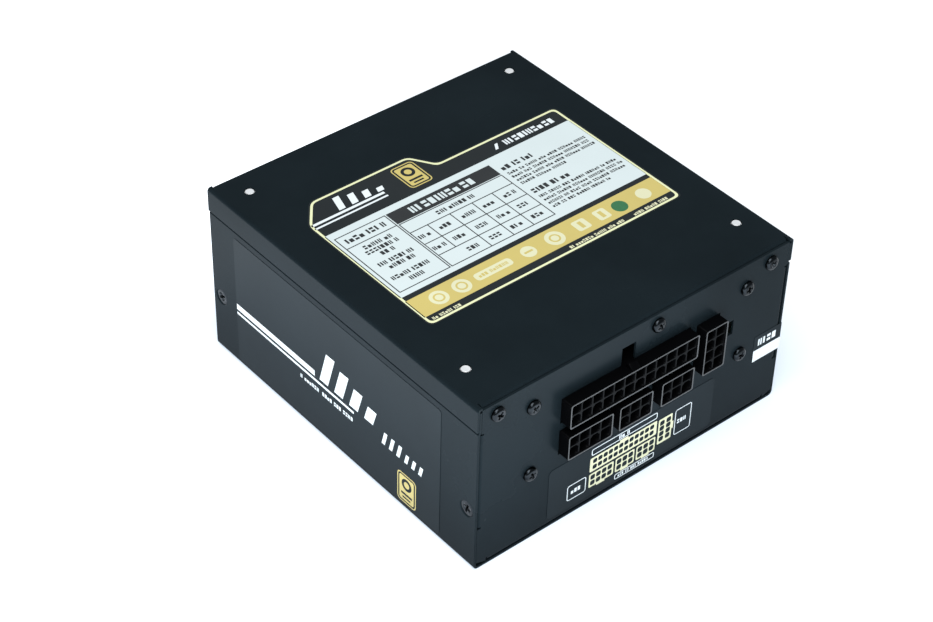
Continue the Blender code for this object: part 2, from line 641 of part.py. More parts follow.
# ----------------------------------------------------------------------- fan
def fan_frame():
    half = FAN_SIZE / 2
    holes = [circle(0, 0, DUCT_R, 40)]
    holes += [circle(x, y, 2.3, 12) for x in (-FAN_HOLES, FAN_HOLES) for y in (-FAN_HOLES, FAN_HOLES)]
    outline = rounded(-half, half, -half, half, 5.0, 3)
    item = finish("fan_frame", prism(bmesh.new(), [outline] + holes, flat_z(FAN_LOW),
                                     flat_z(FAN_HIGH)), NYLON)
    seat = FAN_HIGH - 1.8
    hub = lathe(bmesh.new(), [(0, FAN_HIGH), (HUB_R, FAN_HIGH), (HUB_R, seat), (4.4, seat),
                              (4.4, FAN_LOW + 4.0), (2.95, FAN_LOW + 4.0), (2.95, seat),
                              (0, seat)], 20)
    struts = []
    for k in range(4):
        bm = block(bmesh.new(), HUB_R - 2.5, DUCT_R + 1.2, -2.2, 2.2, seat - 0.4, FAN_HIGH - 0.1)
        bmesh.ops.rotate(bm, verts=bm.verts, matrix=Matrix.Rotation(math.radians(90 * k), 3, "Z"))
        struts.append(solid(f"strut_{k}", bm))
    return join_solids(item, [solid("hub_seat", hub)] + struts)


def blade(bm, turn):
    """One twisted blade from inside the hub wall to just short of the duct."""
    middle = FAN_LOW + 6.9
    sections = []
    for r, chord, pitch in ((HUB_R - 0.8, 6.6, 46), (37.0, 10.6, 32), (56.2, 13.4, 23)):
        row = []
        for along, thick in ((-1, 0), (0, 1), (1, 0), (1, -0.35), (0, -0.2), (-1, -0.35)):
            lift = 1.1 * thick + (0.5 if thick >= 0 else 0.0)
            t = along * chord * math.cos(math.radians(pitch)) - lift * math.sin(math.radians(pitch))
            z = along * chord * math.sin(math.radians(pitch)) + lift * math.cos(math.radians(pitch))
            a = turn + t / r
            row.append((r * math.cos(a), r * math.sin(a), middle - z))
        sections.append(row)
    loft(bm, sections)


def fan_rotor():
    low = FAN_LOW + 0.75
    rim = low + 11.0
    cup = lathe(bmesh.new(), [(0, low), (18.6, low), (HUB_R, low + 1.2), (HUB_R, rim),
                              (HUB_R - 1.5, rim), (HUB_R - 1.5, low + 1.6), (3.4, low + 1.6),
                              (3.4, low + 2.6), (1.55, low + 2.6), (1.55, low + 0.8),
                              (0, low + 0.8)], 24)
    item = finish("fan_rotor", cup, NYLON)
    blades = bmesh.new()
    for k in range(9):
        blade(blades, 2 * math.pi * k / 9)
    join_solids(item, [solid("blades", blades)])
    shaft = lathe(bmesh.new(), [(0, low + 0.85), (1.5, low + 0.85), (1.5, FAN_HIGH - 2.2),
                                (0, FAN_HIGH - 2.2)], 16)
    finish("fan_shaft", shaft, STEEL, smooth=True)


def fan_motor():
    bearing = lathe(bmesh.new(), [(2.9, FAN_LOW + 4.2), (2.9, FAN_HIGH - 1.9),
                                  (1.56, FAN_HIGH - 1.9), (1.56, FAN_LOW + 4.2)], 16)
    finish("fan_bearing", bearing, BRONZE, smooth=True)
    outline = []
    for k in range(4):
        centre = 45 + 90 * k
        for r, a in ((7.2, -26), (14.0, -11), (14.0, -33), (16.8, -36), (16.8, -18), (16.8, 0),
                     (16.8, 18), (16.8, 36), (14.0, 33), (14.0, 11), (7.2, 26)):
            turn = math.radians(centre + a)
            outline.append((r * math.cos(turn), r * math.sin(turn)))
    stator = prism(bmesh.new(), [outline, circle(0, 0, 4.46, 32)], flat_z(FAN_LOW + 4.6),
                   flat_z(FAN_LOW + 10.4))
    finish("fan_stator", stator, COPPER)


def fan_guard():
    """Rings and crossed spokes that end in screw loops."""
    low, mid, high = PAN_DEPTH - 1.6, PAN_DEPTH - 0.9, PAN_DEPTH - FIT
    item = None
    rings = []
    for r, n in ((15.0, 16), (25.0, 20), (35.0, 24), (45.0, 28), (54.6, 32)):
        bm = lathe(bmesh.new(), [(r - 0.6, low), (r + 0.6, low), (r + 0.6, mid + 0.15),
                                 (r - 0.6, mid + 0.15)], n)
        rings.append(solid(f"ring_{int(r)}", bm, BLACK_STEEL))
    spokes = []
    reach = FAN_HOLES * math.sqrt(2)
    for k in range(4):
        bm = block(bmesh.new(), 6.0, reach - 3.2, -0.6, 0.6, mid, high)
        loop = lathe(bmesh.new(), [(2.5, mid), (3.9, mid), (3.9, high), (2.5, high)], 16,
                     axis=(reach, 0.0))
        matrix = Matrix.Rotation(math.radians(45 + 90 * k), 3, "Z")
        bmesh.ops.rotate(bm, verts=bm.verts, matrix=matrix)
        bmesh.ops.rotate(loop, verts=loop.verts, matrix=matrix)
        spokes += [solid(f"spoke_{k}", bm, BLACK_STEEL),
                   solid(f"loop_{k}", loop, BLACK_STEEL)]
    core = lathe(bmesh.new(), [(0, mid - 0.2), (7.0, mid - 0.2), (7.0, high), (0, high)], 20)
    item = finish("fan_guard", core, BLACK_STEEL)
    return join_solids(item, spokes + rings)


def fan_lead():
    path = [(0.0, 22.0, FAN_HIGH + 1.5), (0.0, 40.0, FAN_HIGH + 1.5), (0.0, 55.0, FAN_HIGH + 1.6),
            (0.0, 60.2, FAN_HIGH + 3.2), (0.0, 61.6, FAN_HIGH + 7.0), (0.0, 61.6, 44.0),
            (0.0, 60.4, 49.0), (0.0, 56.0, 52.4), (0.0, 54.6, 54.6), (0.0, 54.4, BOARD_LOW - 0.3)]
    bm = bmesh.new()
    tube(bm, path, 1.1, 8)
    finish("fan_lead", bm, EPOXY, smooth=True)


# --------------------------------------------------------------------- mains
def inlet_outline(w, h, c):
    """A box with its two upper corners cut, about the inlet's centre."""
    x0, x1, z0, z1 = INLET_X - w / 2, INLET_X + w / 2, INLET_Z - h / 2, INLET_Z + h / 2
    return [(x0, z0), (x1, z0), (x1, z1 - c), (x1 - c, z1), (x0 + c, z1), (x0, z1 - c)]


def switch_outline(w, h):
    x0, x1, z0, z1 = SWITCH_X - w / 2, SWITCH_X + w / 2, SWITCH_Z - h / 2, SWITCH_Z + h / 2
    return [(x0, z0), (x1, z0), (x1, z1), (x0, z1)]


PIN_PLACES = (("line", -7.0, -2.0), ("neutral", 7.0, -2.0), ("earth", 0.0, 2.0))


def mains_inlet():
    front, wall, back = HALF_D + 2.2, HALF_D + FIT, 45.6
    flange = rounded(INLET_X - 15.6, INLET_X + 15.6, INLET_Z - 12.0, INLET_Z + 12.0, 2.0, 3)
    item = finish("mains_inlet", prism(bmesh.new(), [flange], flat_y(wall), flat_y(front)), NYLON)
    body = prism(bmesh.new(), [inlet_outline(27.0, 19.6, 3.2)], flat_y(back), flat_y(front - 0.5))
    join_solids(item, [solid("body", body)])
    cutters = [solid("well", prism(bmesh.new(), [inlet_outline(24.4, 16.6, 4.2)],
                                   flat_y(back + 4.0), flat_y(front + 1.0)))]
    for name, dx, dz in PIN_PLACES:
        x, z = INLET_X + dx, INLET_Z + dz
        slot = block(bmesh.new(), x - 1.05, x + 1.05, back - 1.0, back + 6.0, z - 2.05, z + 2.05)
        cutters.append(solid(f"slot_{name}", slot))
    join_solids(item, cutters, "DIFFERENCE")
    for name, dx, dz in PIN_PLACES:
        x, z = INLET_X + dx, INLET_Z + dz
        tip = front - (3.0 if name == "earth" else 5.0)
        bm = bmesh.new()
        sections = []
        for y, w, h in ((38.5, 0.4, 1.9), (back - 0.6, 0.4, 1.9), (back - 0.6, 1.0, 2.0),
                        (tip - 1.2, 1.0, 2.0), (tip, 0.5, 1.3)):
            sections.append([(x - w, y, z - h), (x + w, y, z - h), (x + w, y, z + h),
                             (x - w, y, z + h)])
        loft(bm, sections)
        finish(f"inlet_pin_{name}", bm, BRASS)


def rocker_switch():
    front, wall, back = HALF_D + 2.0, HALF_D + FIT, 51.0
    x, z = SWITCH_X, SWITCH_Z
    rim = rounded(x - 7.5, x + 7.5, z - 10.5, z + 10.5, 1.4, 3)
    item = finish("switch_frame", prism(bmesh.new(), [rim], flat_y(wall), flat_y(front)), NYLON)
    body = block(bmesh.new(), x - 6.45, x + 6.45, back, front - 0.5, z - 9.6, z + 9.6)
    join_solids(item, [solid("body", body)])
    well = block(bmesh.new(), x - 5.6, x + 5.6, back + 3.0, front + 1.0, z - 8.95, z + 8.95)
    axle = lathe(bmesh.new(), [(0, -8.0), (1.35, -8.0), (1.35, 8.0), (0, 8.0)], 16)
    place = Matrix.Translation((x, SWITCH_PIVOT_Y, z)) @ Matrix.Rotation(math.pi / 2, 4, "Y")
    bmesh.ops.transform(axle, matrix=place, verts=axle.verts)
    join_solids(item, [solid("well", well), solid("axle", axle)], "DIFFERENCE")
    rocker()


def rocker():
    """The paddle, drawn level and then tipped to its resting side."""
    r, top = 8.6, 38
    right = arc(0, 0, r, -12, top, 4)
    left = [(-u, v) for u, v in reversed(right)]
    outline = right + [(3.4, 4.0), (0.0, 3.6), (-3.4, 4.0)] + left + [(-4.0, -4.0), (4.0, -4.0)]
    place = Matrix.Translation((SWITCH_X, SWITCH_PIVOT_Y, SWITCH_Z)) @ \
        Matrix.Rotation(SWITCH_TILT, 4, "X")
    bm = prism(bmesh.new(), [outline], lambda u, v: Vector((-5.4, v, u)),
               lambda u, v: Vector((5.4, v, u)))
    bmesh.ops.transform(bm, matrix=place, verts=bm.verts)
    item = finish("rocker", bm, NYLON)
    axle = lathe(bmesh.new(), [(0, -6.3), (1.28, -6.3), (1.28, 6.3), (0, 6.3)], 16)
    bmesh.ops.transform(axle, matrix=place @ Matrix.Rotation(math.pi / 2, 4, "Y"), verts=axle.verts)
    join_solids(item, [solid("axle", axle)])
    set_origin(item, (SWITCH_X, SWITCH_PIVOT_Y, SWITCH_Z))


def set_origin(item, point):
    shift = Vector(point) * MM
    item.data.transform(Matrix.Translation(item.location - shift))
    item.location = shift


# ------------------------------------------------------------------- insides
def boards():
    outline = chamfered(-58.0, 58.0, -59.6, 60.2, 2.0)
    holes = [circle(x, y, 1.62, 12) for x, y in STANDOFFS]
    finish("main_board", prism(bmesh.new(), [outline] + holes, flat_z(BOARD_LOW),
                               flat_z(BOARD_HIGH)), GREEN)
    outline = chamfered(-59.2, 59.2, -61.5, 61.5, 1.5)
    holes = [circle(x, y, 3.6, 12) for x, y in STANDOFFS]
    finish("insulating_film", prism(bmesh.new(), [outline] + holes, flat_z(60.4), flat_z(60.7)),
           SHEETING)
    names = ("rear_left", "rear_right", "front_left", "front_right")
    for label, place in zip(names, STANDOFFS):
        item = standoff(place)
        finish(f"standoff_{label}", item, STEEL)


def standoff(place):
    """Hexagonal pillar: pin through the board below, clinched end above."""
    x, y = place
    bm = bmesh.new()
    low, high = BOARD_HIGH + FIT, CASE_H - SHEET - FIT
    hexagon, pin, stud = circle(x, y, 3.1, 6), circle(x, y, 1.5, 12), circle(x, y, 1.45, 12)
    walls(bm, hexagon, flat_z(low), flat_z(high))
    fill(bm, [hexagon, pin], flat_z(low))
    fill(bm, [hexagon, stud], flat_z(high))
    walls(bm, pin, flat_z(BOARD_LOW - 0.6), flat_z(low))
    fill(bm, [pin], flat_z(BOARD_LOW - 0.6))
    walls(bm, stud, flat_z(high), flat_z(CASE_H - 0.1))
    fill(bm, [stud], flat_z(CASE_H - 0.1))
    return bm


def bulk_capacitor():
    x, y, top = 35.0, 34.0, BOARD_LOW - FIT
    low = top - 35.0
    profile = [(0, low), (13.8, low), (15.0, low + 1.2), (15.0, top - 4.0), (14.2, top - 3.2),
               (14.2, top - 2.4), (15.0, top - 1.6), (15.0, top - 0.6), (14.4, top), (0, top)]
    finish("bulk_capacitor", lathe(bmesh.new(), profile, 28, axis=(x, y)), SLEEVE, smooth=True)


def lobed(cx, cy, r, wave, n):
    points = []
    for i in range(2 * n):
        a = math.pi * i / n
        reach = r + (wave if i % 2 else 0.0)
        points.append((cx + reach * math.cos(a), cy + reach * math.sin(a)))
    return points


def chokes():
    top = BOARD_LOW - FIT
    loops = [lobed(35.0, -0.5, 13.6, 0.9, 22), lobed(35.0, -0.5, 6.2, -0.8, 22)]
    finish("pfc_choke", prism(bmesh.new(), loops, flat_z(top - 15.0), flat_z(top)), COPPER)
    loops = [lobed(top - 11.2, 25.6, 10.2, 0.8, 16), lobed(top - 11.2, 25.6, 4.6, -0.7, 16)]
    bm = prism(bmesh.new(), loops, lambda u, v: Vector((-40.5, v, u)),
               lambda u, v: Vector((-30.0, v, u)))
    finish("mains_filter_choke", bm, COPPER)


def transformer(name, x, y, wide, deep, tall):
    top = BOARD_LOW - FIT
    core = block(bmesh.new(), x - wide / 2, x + wide / 2, y - deep * 0.27, y + deep * 0.27,
                 top - tall, top - 2.0)
    item = finish(name, core, FERRITE)
    coil = bmesh.new()
    loop = rounded(x - wide * 0.36, x + wide * 0.36, y - deep / 2, y + deep / 2, deep * 0.2, 3)
    prism(coil, [loop], flat_z(top - tall + 4.5), flat_z(top - 4.5))
    foot = block(bmesh.new(), x - wide * 0.42, x + wide * 0.42, y - deep * 0.46, y + deep * 0.46,
                 top - 5.0, top)
    join_solids(item, [solid("coil", coil, TAPE), solid("foot", foot, EPOXY)])


def comb(x0, x1, y0, y1, spine, fins, thick):
    """Outline of a heat sink: a spine along Y with fins towards +X."""
    points = [(x0, y1), (x0, y0)]
    gap = (y1 - y0 - fins * thick) / (fins - 1)
    y = y0
    for k in range(fins):
        points += [(x1, y), (x1, y + thick)]
        y += thick
        if k < fins - 1:
            points += [(x0 + spine, y), (x0 + spine, y + gap)]
            y += gap
    return points


def heat_sinks():
    top = BOARD_LOW - FIT
    outline = comb(2.0, 13.0, -14.0, 46.0, 3.0, 8, 1.6)
    finish("primary_heat_sink", prism(bmesh.new(), [outline], flat_z(23.0), flat_z(top)), ALLOY)
    outline = [(-v, u - 41.5) for u, v in comb(2.0, 12.0, 6.0, 50.0, 3.0, 6, 1.6)]
    finish("secondary_heat_sink", prism(bmesh.new(), [outline], flat_z(26.0), flat_z(top)), ALLOY)
    block_bm = block(bmesh.new(), -1.7, 1.95, 24.0, 44.0, 34.0, top, 0.6)
    finish("bridge_rectifier", block_bm, EPOXY)
    cap = block(bmesh.new(), -17.6, -7.6, 20.0, 46.0, top - 18.5, top, 1.0)
    finish("mains_filter_capacitor", cap, TAPE)


def converter_board():
    """Upright daughter board with its two square inductors."""
    top = BOARD_LOW - FIT
    item = finish("converter_board", block(bmesh.new(), 2.0, 48.0, -37.6, -36.0, 27.0, top), GREEN)
    parts = []
    for x in (12.0, 30.0):
        coil = block(bmesh.new(), x, x + 11.0, -36.4, -29.0, 34.0, 45.0, 1.0)
        parts.append(solid("inductor", coil, FERRITE))
    join_solids(item, parts)


def build():
    clear_scene()
    base_tray()
    fan_cover()
    connector_panel()
    printed_films()
    for entry in SOCKETS:
        socket(*entry)
    socket_board()
    all_screws()
    fan_frame()
    fan_rotor()
    fan_motor()
    fan_guard()
    fan_lead()
    mains_inlet()
    rocker_switch()
    boards()
    bulk_capacitor()
    chokes()
    transformer("main_transformer", -30.0, -2.0, 34.0, 27.0, 31.0)
    transformer("standby_transformer", -49.5, 22.5, 15.0, 15.0, 17.0)
    heat_sinks()
    converter_board()


build()
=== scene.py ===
"""Looks of the slim power supply unit: finished surfaces, printing, sockets, screws,
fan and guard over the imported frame. Lengths are in millimetres, scaled on the way in."""
import json
import math

import bmesh
import bpy
from mathutils import Matrix, Vector


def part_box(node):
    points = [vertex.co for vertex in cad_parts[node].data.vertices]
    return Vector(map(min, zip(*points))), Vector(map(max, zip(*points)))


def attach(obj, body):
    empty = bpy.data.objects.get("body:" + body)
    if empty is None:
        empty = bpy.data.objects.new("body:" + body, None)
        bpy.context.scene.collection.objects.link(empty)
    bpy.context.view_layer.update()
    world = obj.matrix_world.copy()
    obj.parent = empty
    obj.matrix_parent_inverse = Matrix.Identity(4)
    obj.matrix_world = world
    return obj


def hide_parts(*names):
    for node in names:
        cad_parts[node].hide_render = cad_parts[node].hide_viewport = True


MM = 0.001
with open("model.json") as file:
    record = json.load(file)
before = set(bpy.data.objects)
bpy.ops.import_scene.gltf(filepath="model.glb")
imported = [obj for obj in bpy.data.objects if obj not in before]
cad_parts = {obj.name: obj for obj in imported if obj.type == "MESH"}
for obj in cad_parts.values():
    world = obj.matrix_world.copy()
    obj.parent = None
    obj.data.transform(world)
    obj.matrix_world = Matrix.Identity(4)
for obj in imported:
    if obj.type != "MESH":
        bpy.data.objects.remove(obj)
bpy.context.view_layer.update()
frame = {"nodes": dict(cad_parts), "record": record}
FILM = 0.055                      # thickness of a printed film
INK = 0.012                       # thickness of a layer of print
THIN_INK = 0.006                  # the same, where it is the third layer
SECOND, THIRD = 0.069, 0.083      # lift of print that lies on one or two layers of print
SIDE_FILM = -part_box("side_decal")[1][0] / MM
FRONT_FILM = -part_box("socket_chart_decal")[1][1] / MM
TOP_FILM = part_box("rating_label")[0][2] / MM
BODY_OF = {node: body for body, nodes in frame["record"]["behaviour"]["bodies"].items()
           for node in nodes}


# ----------------------------------------------------------------- materials
def new_material(name, colour, rough, metallic=0.0, **sockets):
    made = bpy.data.materials.new(name)
    made.use_nodes = True
    tree = made.node_tree
    shader = tree.nodes["Principled BSDF"]
    shader.inputs["Base Color"].default_value = (*colour, 1.0)
    shader.inputs["Roughness"].default_value = rough
    shader.inputs["Metallic"].default_value = metallic
    for key, value in sockets.items():
        shader.inputs[key.replace("_", " ")].default_value = value
    return made, tree, shader


def texture(tree, kind, scale, stretch=(1, 1, 1), **inputs):
    """A procedural texture in the object's own metres."""
    place = tree.nodes.new("ShaderNodeTexCoord")
    mapping = tree.nodes.new("ShaderNodeMapping")
    mapping.inputs["Scale"].default_value = stretch
    node = tree.nodes.new(kind)
    node.inputs["Scale"].default_value = scale
    for key, value in inputs.items():
        node.inputs[key.replace("_", " ")].default_value = value
    tree.links.new(place.outputs["Object"], mapping.inputs["Vector"])
    tree.links.new(mapping.outputs["Vector"], node.inputs["Vector"])
    return node


def spread(tree, source, low, high, target):
    """Map a 0-1 texture value to a range and feed it to a shader input."""
    node = tree.nodes.new("ShaderNodeMapRange")
    node.inputs["From Min"].default_value = 0.25
    node.inputs["From Max"].default_value = 0.75
    node.inputs["To Min"].default_value = low
    node.inputs["To Max"].default_value = high
    tree.links.new(source, node.inputs["Value"])
    tree.links.new(node.outputs["Result"], target)


def tint(tree, source, dark, light, shader, start=0.3, end=0.7):
    """Colour the shader from dark to light by a texture value."""
    ramp = tree.nodes.new("ShaderNodeValToRGB")
    ramp.color_ramp.elements[0].color = (*dark, 1.0)
    ramp.color_ramp.elements[1].color = (*light, 1.0)
    ramp.color_ramp.elements[0].position = start
    ramp.color_ramp.elements[1].position = end
    tree.links.new(source, ramp.inputs["Fac"])
    tree.links.new(ramp.outputs["Color"], shader.inputs["Base Color"])


def bump(tree, sources, shader):
    """Chain (value, strength, height in mm) bumps into the shader's normal."""
    last = None
    for value, strength, height in sources:
        node = tree.nodes.new("ShaderNodeBump")
        node.inputs["Strength"].default_value = strength
        node.inputs["Distance"].default_value = height * MM
        tree.links.new(value, node.inputs["Height"])
        if last is not None:
            tree.links.new(last.outputs["Normal"], node.inputs["Normal"])
        last = node
    tree.links.new(last.outputs["Normal"], shader.inputs["Normal"])


def shade(colour, factor):
    """A colour made darker or lighter."""
    return tuple(min(1.0, c * factor) for c in colour)


def grained(name, colour, rough, metallic=0.0, grain=900.0, height=0.02, strength=0.25,
            vary=0.18, blotch=35.0, stretch=(1, 1, 1), **sockets):
    """A surface with a fine grain, slow colour drift and uneven gloss."""
    made, tree, shader = new_material(name, colour, rough, metallic, **sockets)
    fine = texture(tree, "ShaderNodeTexNoise", grain, stretch, Detail=3.0, Roughness=0.55)
    slow = texture(tree, "ShaderNodeTexNoise", blotch, (1, 1, 1), Detail=4.0, Roughness=0.6)
    tint(tree, slow.outputs["Fac"], shade(colour, 1 - vary), shade(colour, 1 + vary), shader)
    spread(tree, slow.outputs["Fac"], rough * 0.93, min(1.0, rough * 1.08),
           shader.inputs["Roughness"])
    bump(tree, [(fine.outputs["Fac"], strength, height)], shader)
    return made


def powder_coat(name, colour, rough, **sockets):
    """Satin powder coat: orange peel, fine pits and a slight drift in gloss."""
    made, tree, shader = new_material(name, colour, rough, **sockets)
    peel = texture(tree, "ShaderNodeTexNoise", 620.0, Detail=2.0, Roughness=0.5)
    pits = texture(tree, "ShaderNodeTexVoronoi", 2300.0)
    slow = texture(tree, "ShaderNodeTexNoise", 26.0, Detail=5.0, Roughness=0.6)
    tint(tree, slow.outputs["Fac"], shade(colour, 0.86), shade(colour, 1.16), shader)
    spread(tree, slow.outputs["Fac"], rough * 0.92, rough * 1.10, shader.inputs["Roughness"])
    bump(tree, [(peel.outputs["Fac"], 0.22, 0.035), (pits.outputs["Distance"], 0.12, 0.010)],
         shader)
    return made


def brushed(name, colour, rough, along=(1, 1, 30)):
    return grained(name, colour, rough, 1.0, grain=260.0, height=0.012, strength=0.2,
                   vary=0.10, stretch=along)


def circuit_board():
    """Green solder mask with tracks and tinned pads."""
    made, tree, shader = new_material("green_solder_mask", (0.012, 0.12, 0.045), 0.33)
    tracks = texture(tree, "ShaderNodeTexBrick", 160.0, (1, 1, 1))
    tracks.inputs["Color1"].default_value = (0.010, 0.11, 0.040, 1)
    tracks.inputs["Color2"].default_value = (0.014, 0.15, 0.055, 1)
    tracks.inputs["Mortar"].default_value = (0.006, 0.07, 0.026, 1)
    pads = texture(tree, "ShaderNodeTexVoronoi", 210.0)
    ramp = tree.nodes.new("ShaderNodeValToRGB")
    ramp.color_ramp.elements[0].position = 0.16
    ramp.color_ramp.elements[1].position = 0.20
    ramp.color_ramp.elements[0].color = (1, 1, 1, 1)
    ramp.color_ramp.elements[1].color = (0, 0, 0, 1)
    tree.links.new(pads.outputs["Distance"], ramp.inputs["Fac"])
    mix = tree.nodes.new("ShaderNodeMix")
    mix.data_type = "RGBA"
    tree.links.new(ramp.outputs["Color"], mix.inputs["Factor"])
    tree.links.new(tracks.outputs["Color"], mix.inputs["A"])
    mix.inputs["B"].default_value = (0.62, 0.62, 0.60, 1)
    tree.links.new(mix.outputs["Result"], shader.inputs["Base Color"])
    tree.links.new(ramp.outputs["Color"], shader.inputs["Metallic"])
    bump(tree, [(ramp.outputs["Color"], 0.5, 0.15), (tracks.outputs["Fac"], 0.3, 0.03)], shader)
    return made


def wound_copper():
    """Enamelled wire laid side by side, with painted shade in the grooves between the turns."""
    made, tree, shader = new_material("wound_enamelled_copper", (0.50, 0.20, 0.07), 0.3, 0.85)
    wave = texture(tree, "ShaderNodeTexWave", 260.0, Distortion=0.6, Detail=1.0)
    # colour follows the waves of the bump: darker in the grooves between turns, a painted shade
    tint(tree, wave.outputs["Fac"], (0.20, 0.07, 0.02), (0.62, 0.27, 0.10), shader, 0.1, 0.6)
    bump(tree, [(wave.outputs["Fac"], 0.8, 0.35)], shader)
    return made


LOOK = {
    "paint": powder_coat("black_powder_coat", (0.0082, 0.0130, 0.0160), 0.26,
                         Specular_IOR_Level=0.036, Specular_Tint=(0.60, 0.85, 1.0, 1.0)),
    "shell": grained("black_nylon_moulding", (0.0014, 0.0015, 0.0018), 0.30, grain=1500.0,
                     height=0.010, strength=0.25, Specular_IOR_Level=0.02),
    # the next two looks are the black nylon made lighter on the front faces of the rim and ribs:
    # painted highlights
    "lip": grained("rubbed_nylon_lip", (0.055, 0.058, 0.060), 0.36, grain=1500.0,
                   height=0.010, strength=0.25, Specular_IOR_Level=0.3),
    "rib_highlight": grained("nylon_rib_painted_highlight", (0.0036, 0.004, 0.0045), 0.34, grain=1500.0,
                   height=0.010, strength=0.25, Specular_IOR_Level=0.03),
    "plain": grained("black_nylon_shell", (0.012, 0.012, 0.0135), 0.34, grain=1300.0,
                     height=0.014, strength=0.3),
    "fan": grained("black_fan_plastic", (0.016, 0.016, 0.018), 0.42, grain=1100.0, height=0.015),
    "zinc": grained("zinc_plate", (0.62, 0.63, 0.65), 0.26, 1.0, grain=700.0, height=0.008,
                    vary=0.12, blotch=300.0),
    "screw": grained("black_oxide_screw", (0.018, 0.021, 0.024), 0.20, 1.0, grain=900.0,
                     height=0.008, vary=0.25, blotch=400.0),
    "rivet": grained("matt_zinc", (0.84, 0.85, 0.86), 0.50, 0.4, grain=900.0, height=0.008,
                     vary=0.06, blotch=400.0),
    "wire": grained("black_plated_wire", (0.030, 0.030, 0.033), 0.30, 0.4, grain=1300.0,
                    height=0.010, vary=0.25),
    "film": grained("printed_film_ground", (0.016, 0.020, 0.022), 0.26, grain=420.0,
                    height=0.012, strength=0.12, vary=0.10, Specular_IOR_Level=0.2),
    "side_film": grained("side_film_ground", (0.0098, 0.0150, 0.0182), 0.24, grain=420.0,
                         height=0.012, strength=0.10, vary=0.10, Specular_IOR_Level=0.055,
                         Specular_Tint=(0.60, 0.85, 1.0, 1.0)),
    "white": grained("white_ink", (0.80, 0.86, 0.88), 0.42, grain=1600.0, height=0.004, vary=0.02),
    "paper": grained("white_film_ink", (0.66, 0.74, 0.745), 0.40, grain=1600.0, height=0.004,
                     vary=0.02),
    "dark": grained("dark_ink", (0.020, 0.022, 0.024), 0.45, grain=1600.0, height=0.004),
    "grey": grained("grey_ink", (0.16, 0.18, 0.20), 0.45, grain=1600.0, height=0.004),
    "gold": grained("gold_ink", (0.60, 0.49, 0.155), 0.36, grain=1600.0, height=0.004, vary=0.05),
    "yellow": grained("pale_yellow_ink", (0.80, 0.82, 0.50), 0.40, grain=1600.0, height=0.004,
                      vary=0.03),
    "cream": grained("cream_ink", (0.72, 0.71, 0.47), 0.42, grain=1600.0, height=0.004, vary=0.03),
    "green": grained("green_ink", (0.035, 0.16, 0.065), 0.42, grain=1600.0, height=0.004,
                     vary=0.10, blotch=400.0),
    "board": circuit_board(),
    "brass": grained("nickelled_brass_pin", (0.70, 0.66, 0.56), 0.22, 1.0, grain=700.0,
                     height=0.006, vary=0.08, blotch=200.0),
    "tin": grained("tinned_pin", (0.66, 0.62, 0.52), 0.28, 1.0, grain=900.0, height=0.006,
                   vary=0.12, blotch=300.0),
    "alloy": brushed("extruded_aluminium", (0.40, 0.41, 0.42), 0.42, (30, 30, 1)),
    "ferrite": grained("grey_ferrite", (0.060, 0.060, 0.066), 0.72, grain=1700.0, height=0.05,
                       strength=0.6, vary=0.25, blotch=120.0),
    "copper": wound_copper(),
    "tape": grained("yellow_film_box", (0.62, 0.44, 0.06), 0.35, grain=500.0, height=0.03,
                    vary=0.12, blotch=60.0),
    "sleeve": grained("dark_blue_sleeve", (0.010, 0.018, 0.060), 0.22, grain=240.0, height=0.03,
                      vary=0.20, blotch=50.0),
    "epoxy": grained("black_epoxy", (0.018, 0.018, 0.019), 0.55, grain=1500.0, height=0.03,
                     strength=0.5),
    "lead": grained("black_wire_sleeve", (0.015, 0.015, 0.016), 0.40, grain=800.0, height=0.02),
    "clear": grained("milky_polyester_film", (0.52, 0.52, 0.49), 0.30, grain=200.0, height=0.02,
                     vary=0.05),
    "bronze": grained("sintered_bronze", (0.36, 0.24, 0.13), 0.5, 0.9, grain=2200.0, height=0.03,
                      strength=0.5, vary=0.2, blotch=300.0),
    "mark": grained("white_switch_mark", (0.78, 0.80, 0.80), 0.45, grain=1600.0, height=0.004),
}


# -------------------------------------------------------------------- meshes
def add_piece(name, bm, look, body="case_body", smooth=32.0, replaces=(), slot=None, mm=True,
              flatten=False):
    """Make a piece from a mesh in millimetres, shade it, and let it ride on a body."""
    bmesh.ops.remove_doubles(bm, verts=bm.verts, dist=0.0004 if mm else 4e-7)
    bmesh.ops.recalc_face_normals(bm, faces=bm.faces)
    if bm.calc_volume(signed=True) < 0:
        bmesh.ops.reverse_faces(bm, faces=bm.faces)
    if mm:
        bmesh.ops.scale(bm, verts=bm.verts, vec=(MM, MM, MM))
    for face in bm.faces:
        face.smooth = True
    mesh = bpy.data.meshes.new(name)
    bm.to_mesh(mesh)
    bm.free()
    mesh.set_sharp_from_angle(angle=math.radians(smooth))
    item = bpy.data.objects.new(name, mesh)
    item.data.materials.append(LOOK[look])
    if flatten:
        step = item.modifiers.new("flat_faces", "WEIGHTED_NORMAL")
        step.keep_sharp = True
        step.weight = 100
    bpy.context.collection.objects.link(item)
    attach(item, body)
    if replaces:
        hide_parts(*replaces)
        slot = slot or slot_of(replaces[0])
    return item


def slot_of(node):
    """Name of the material slot that the record gives a CAD node."""
    return next(part["material_slot"] for part in frame["record"]["subparts"]
                if part["node"] == node)


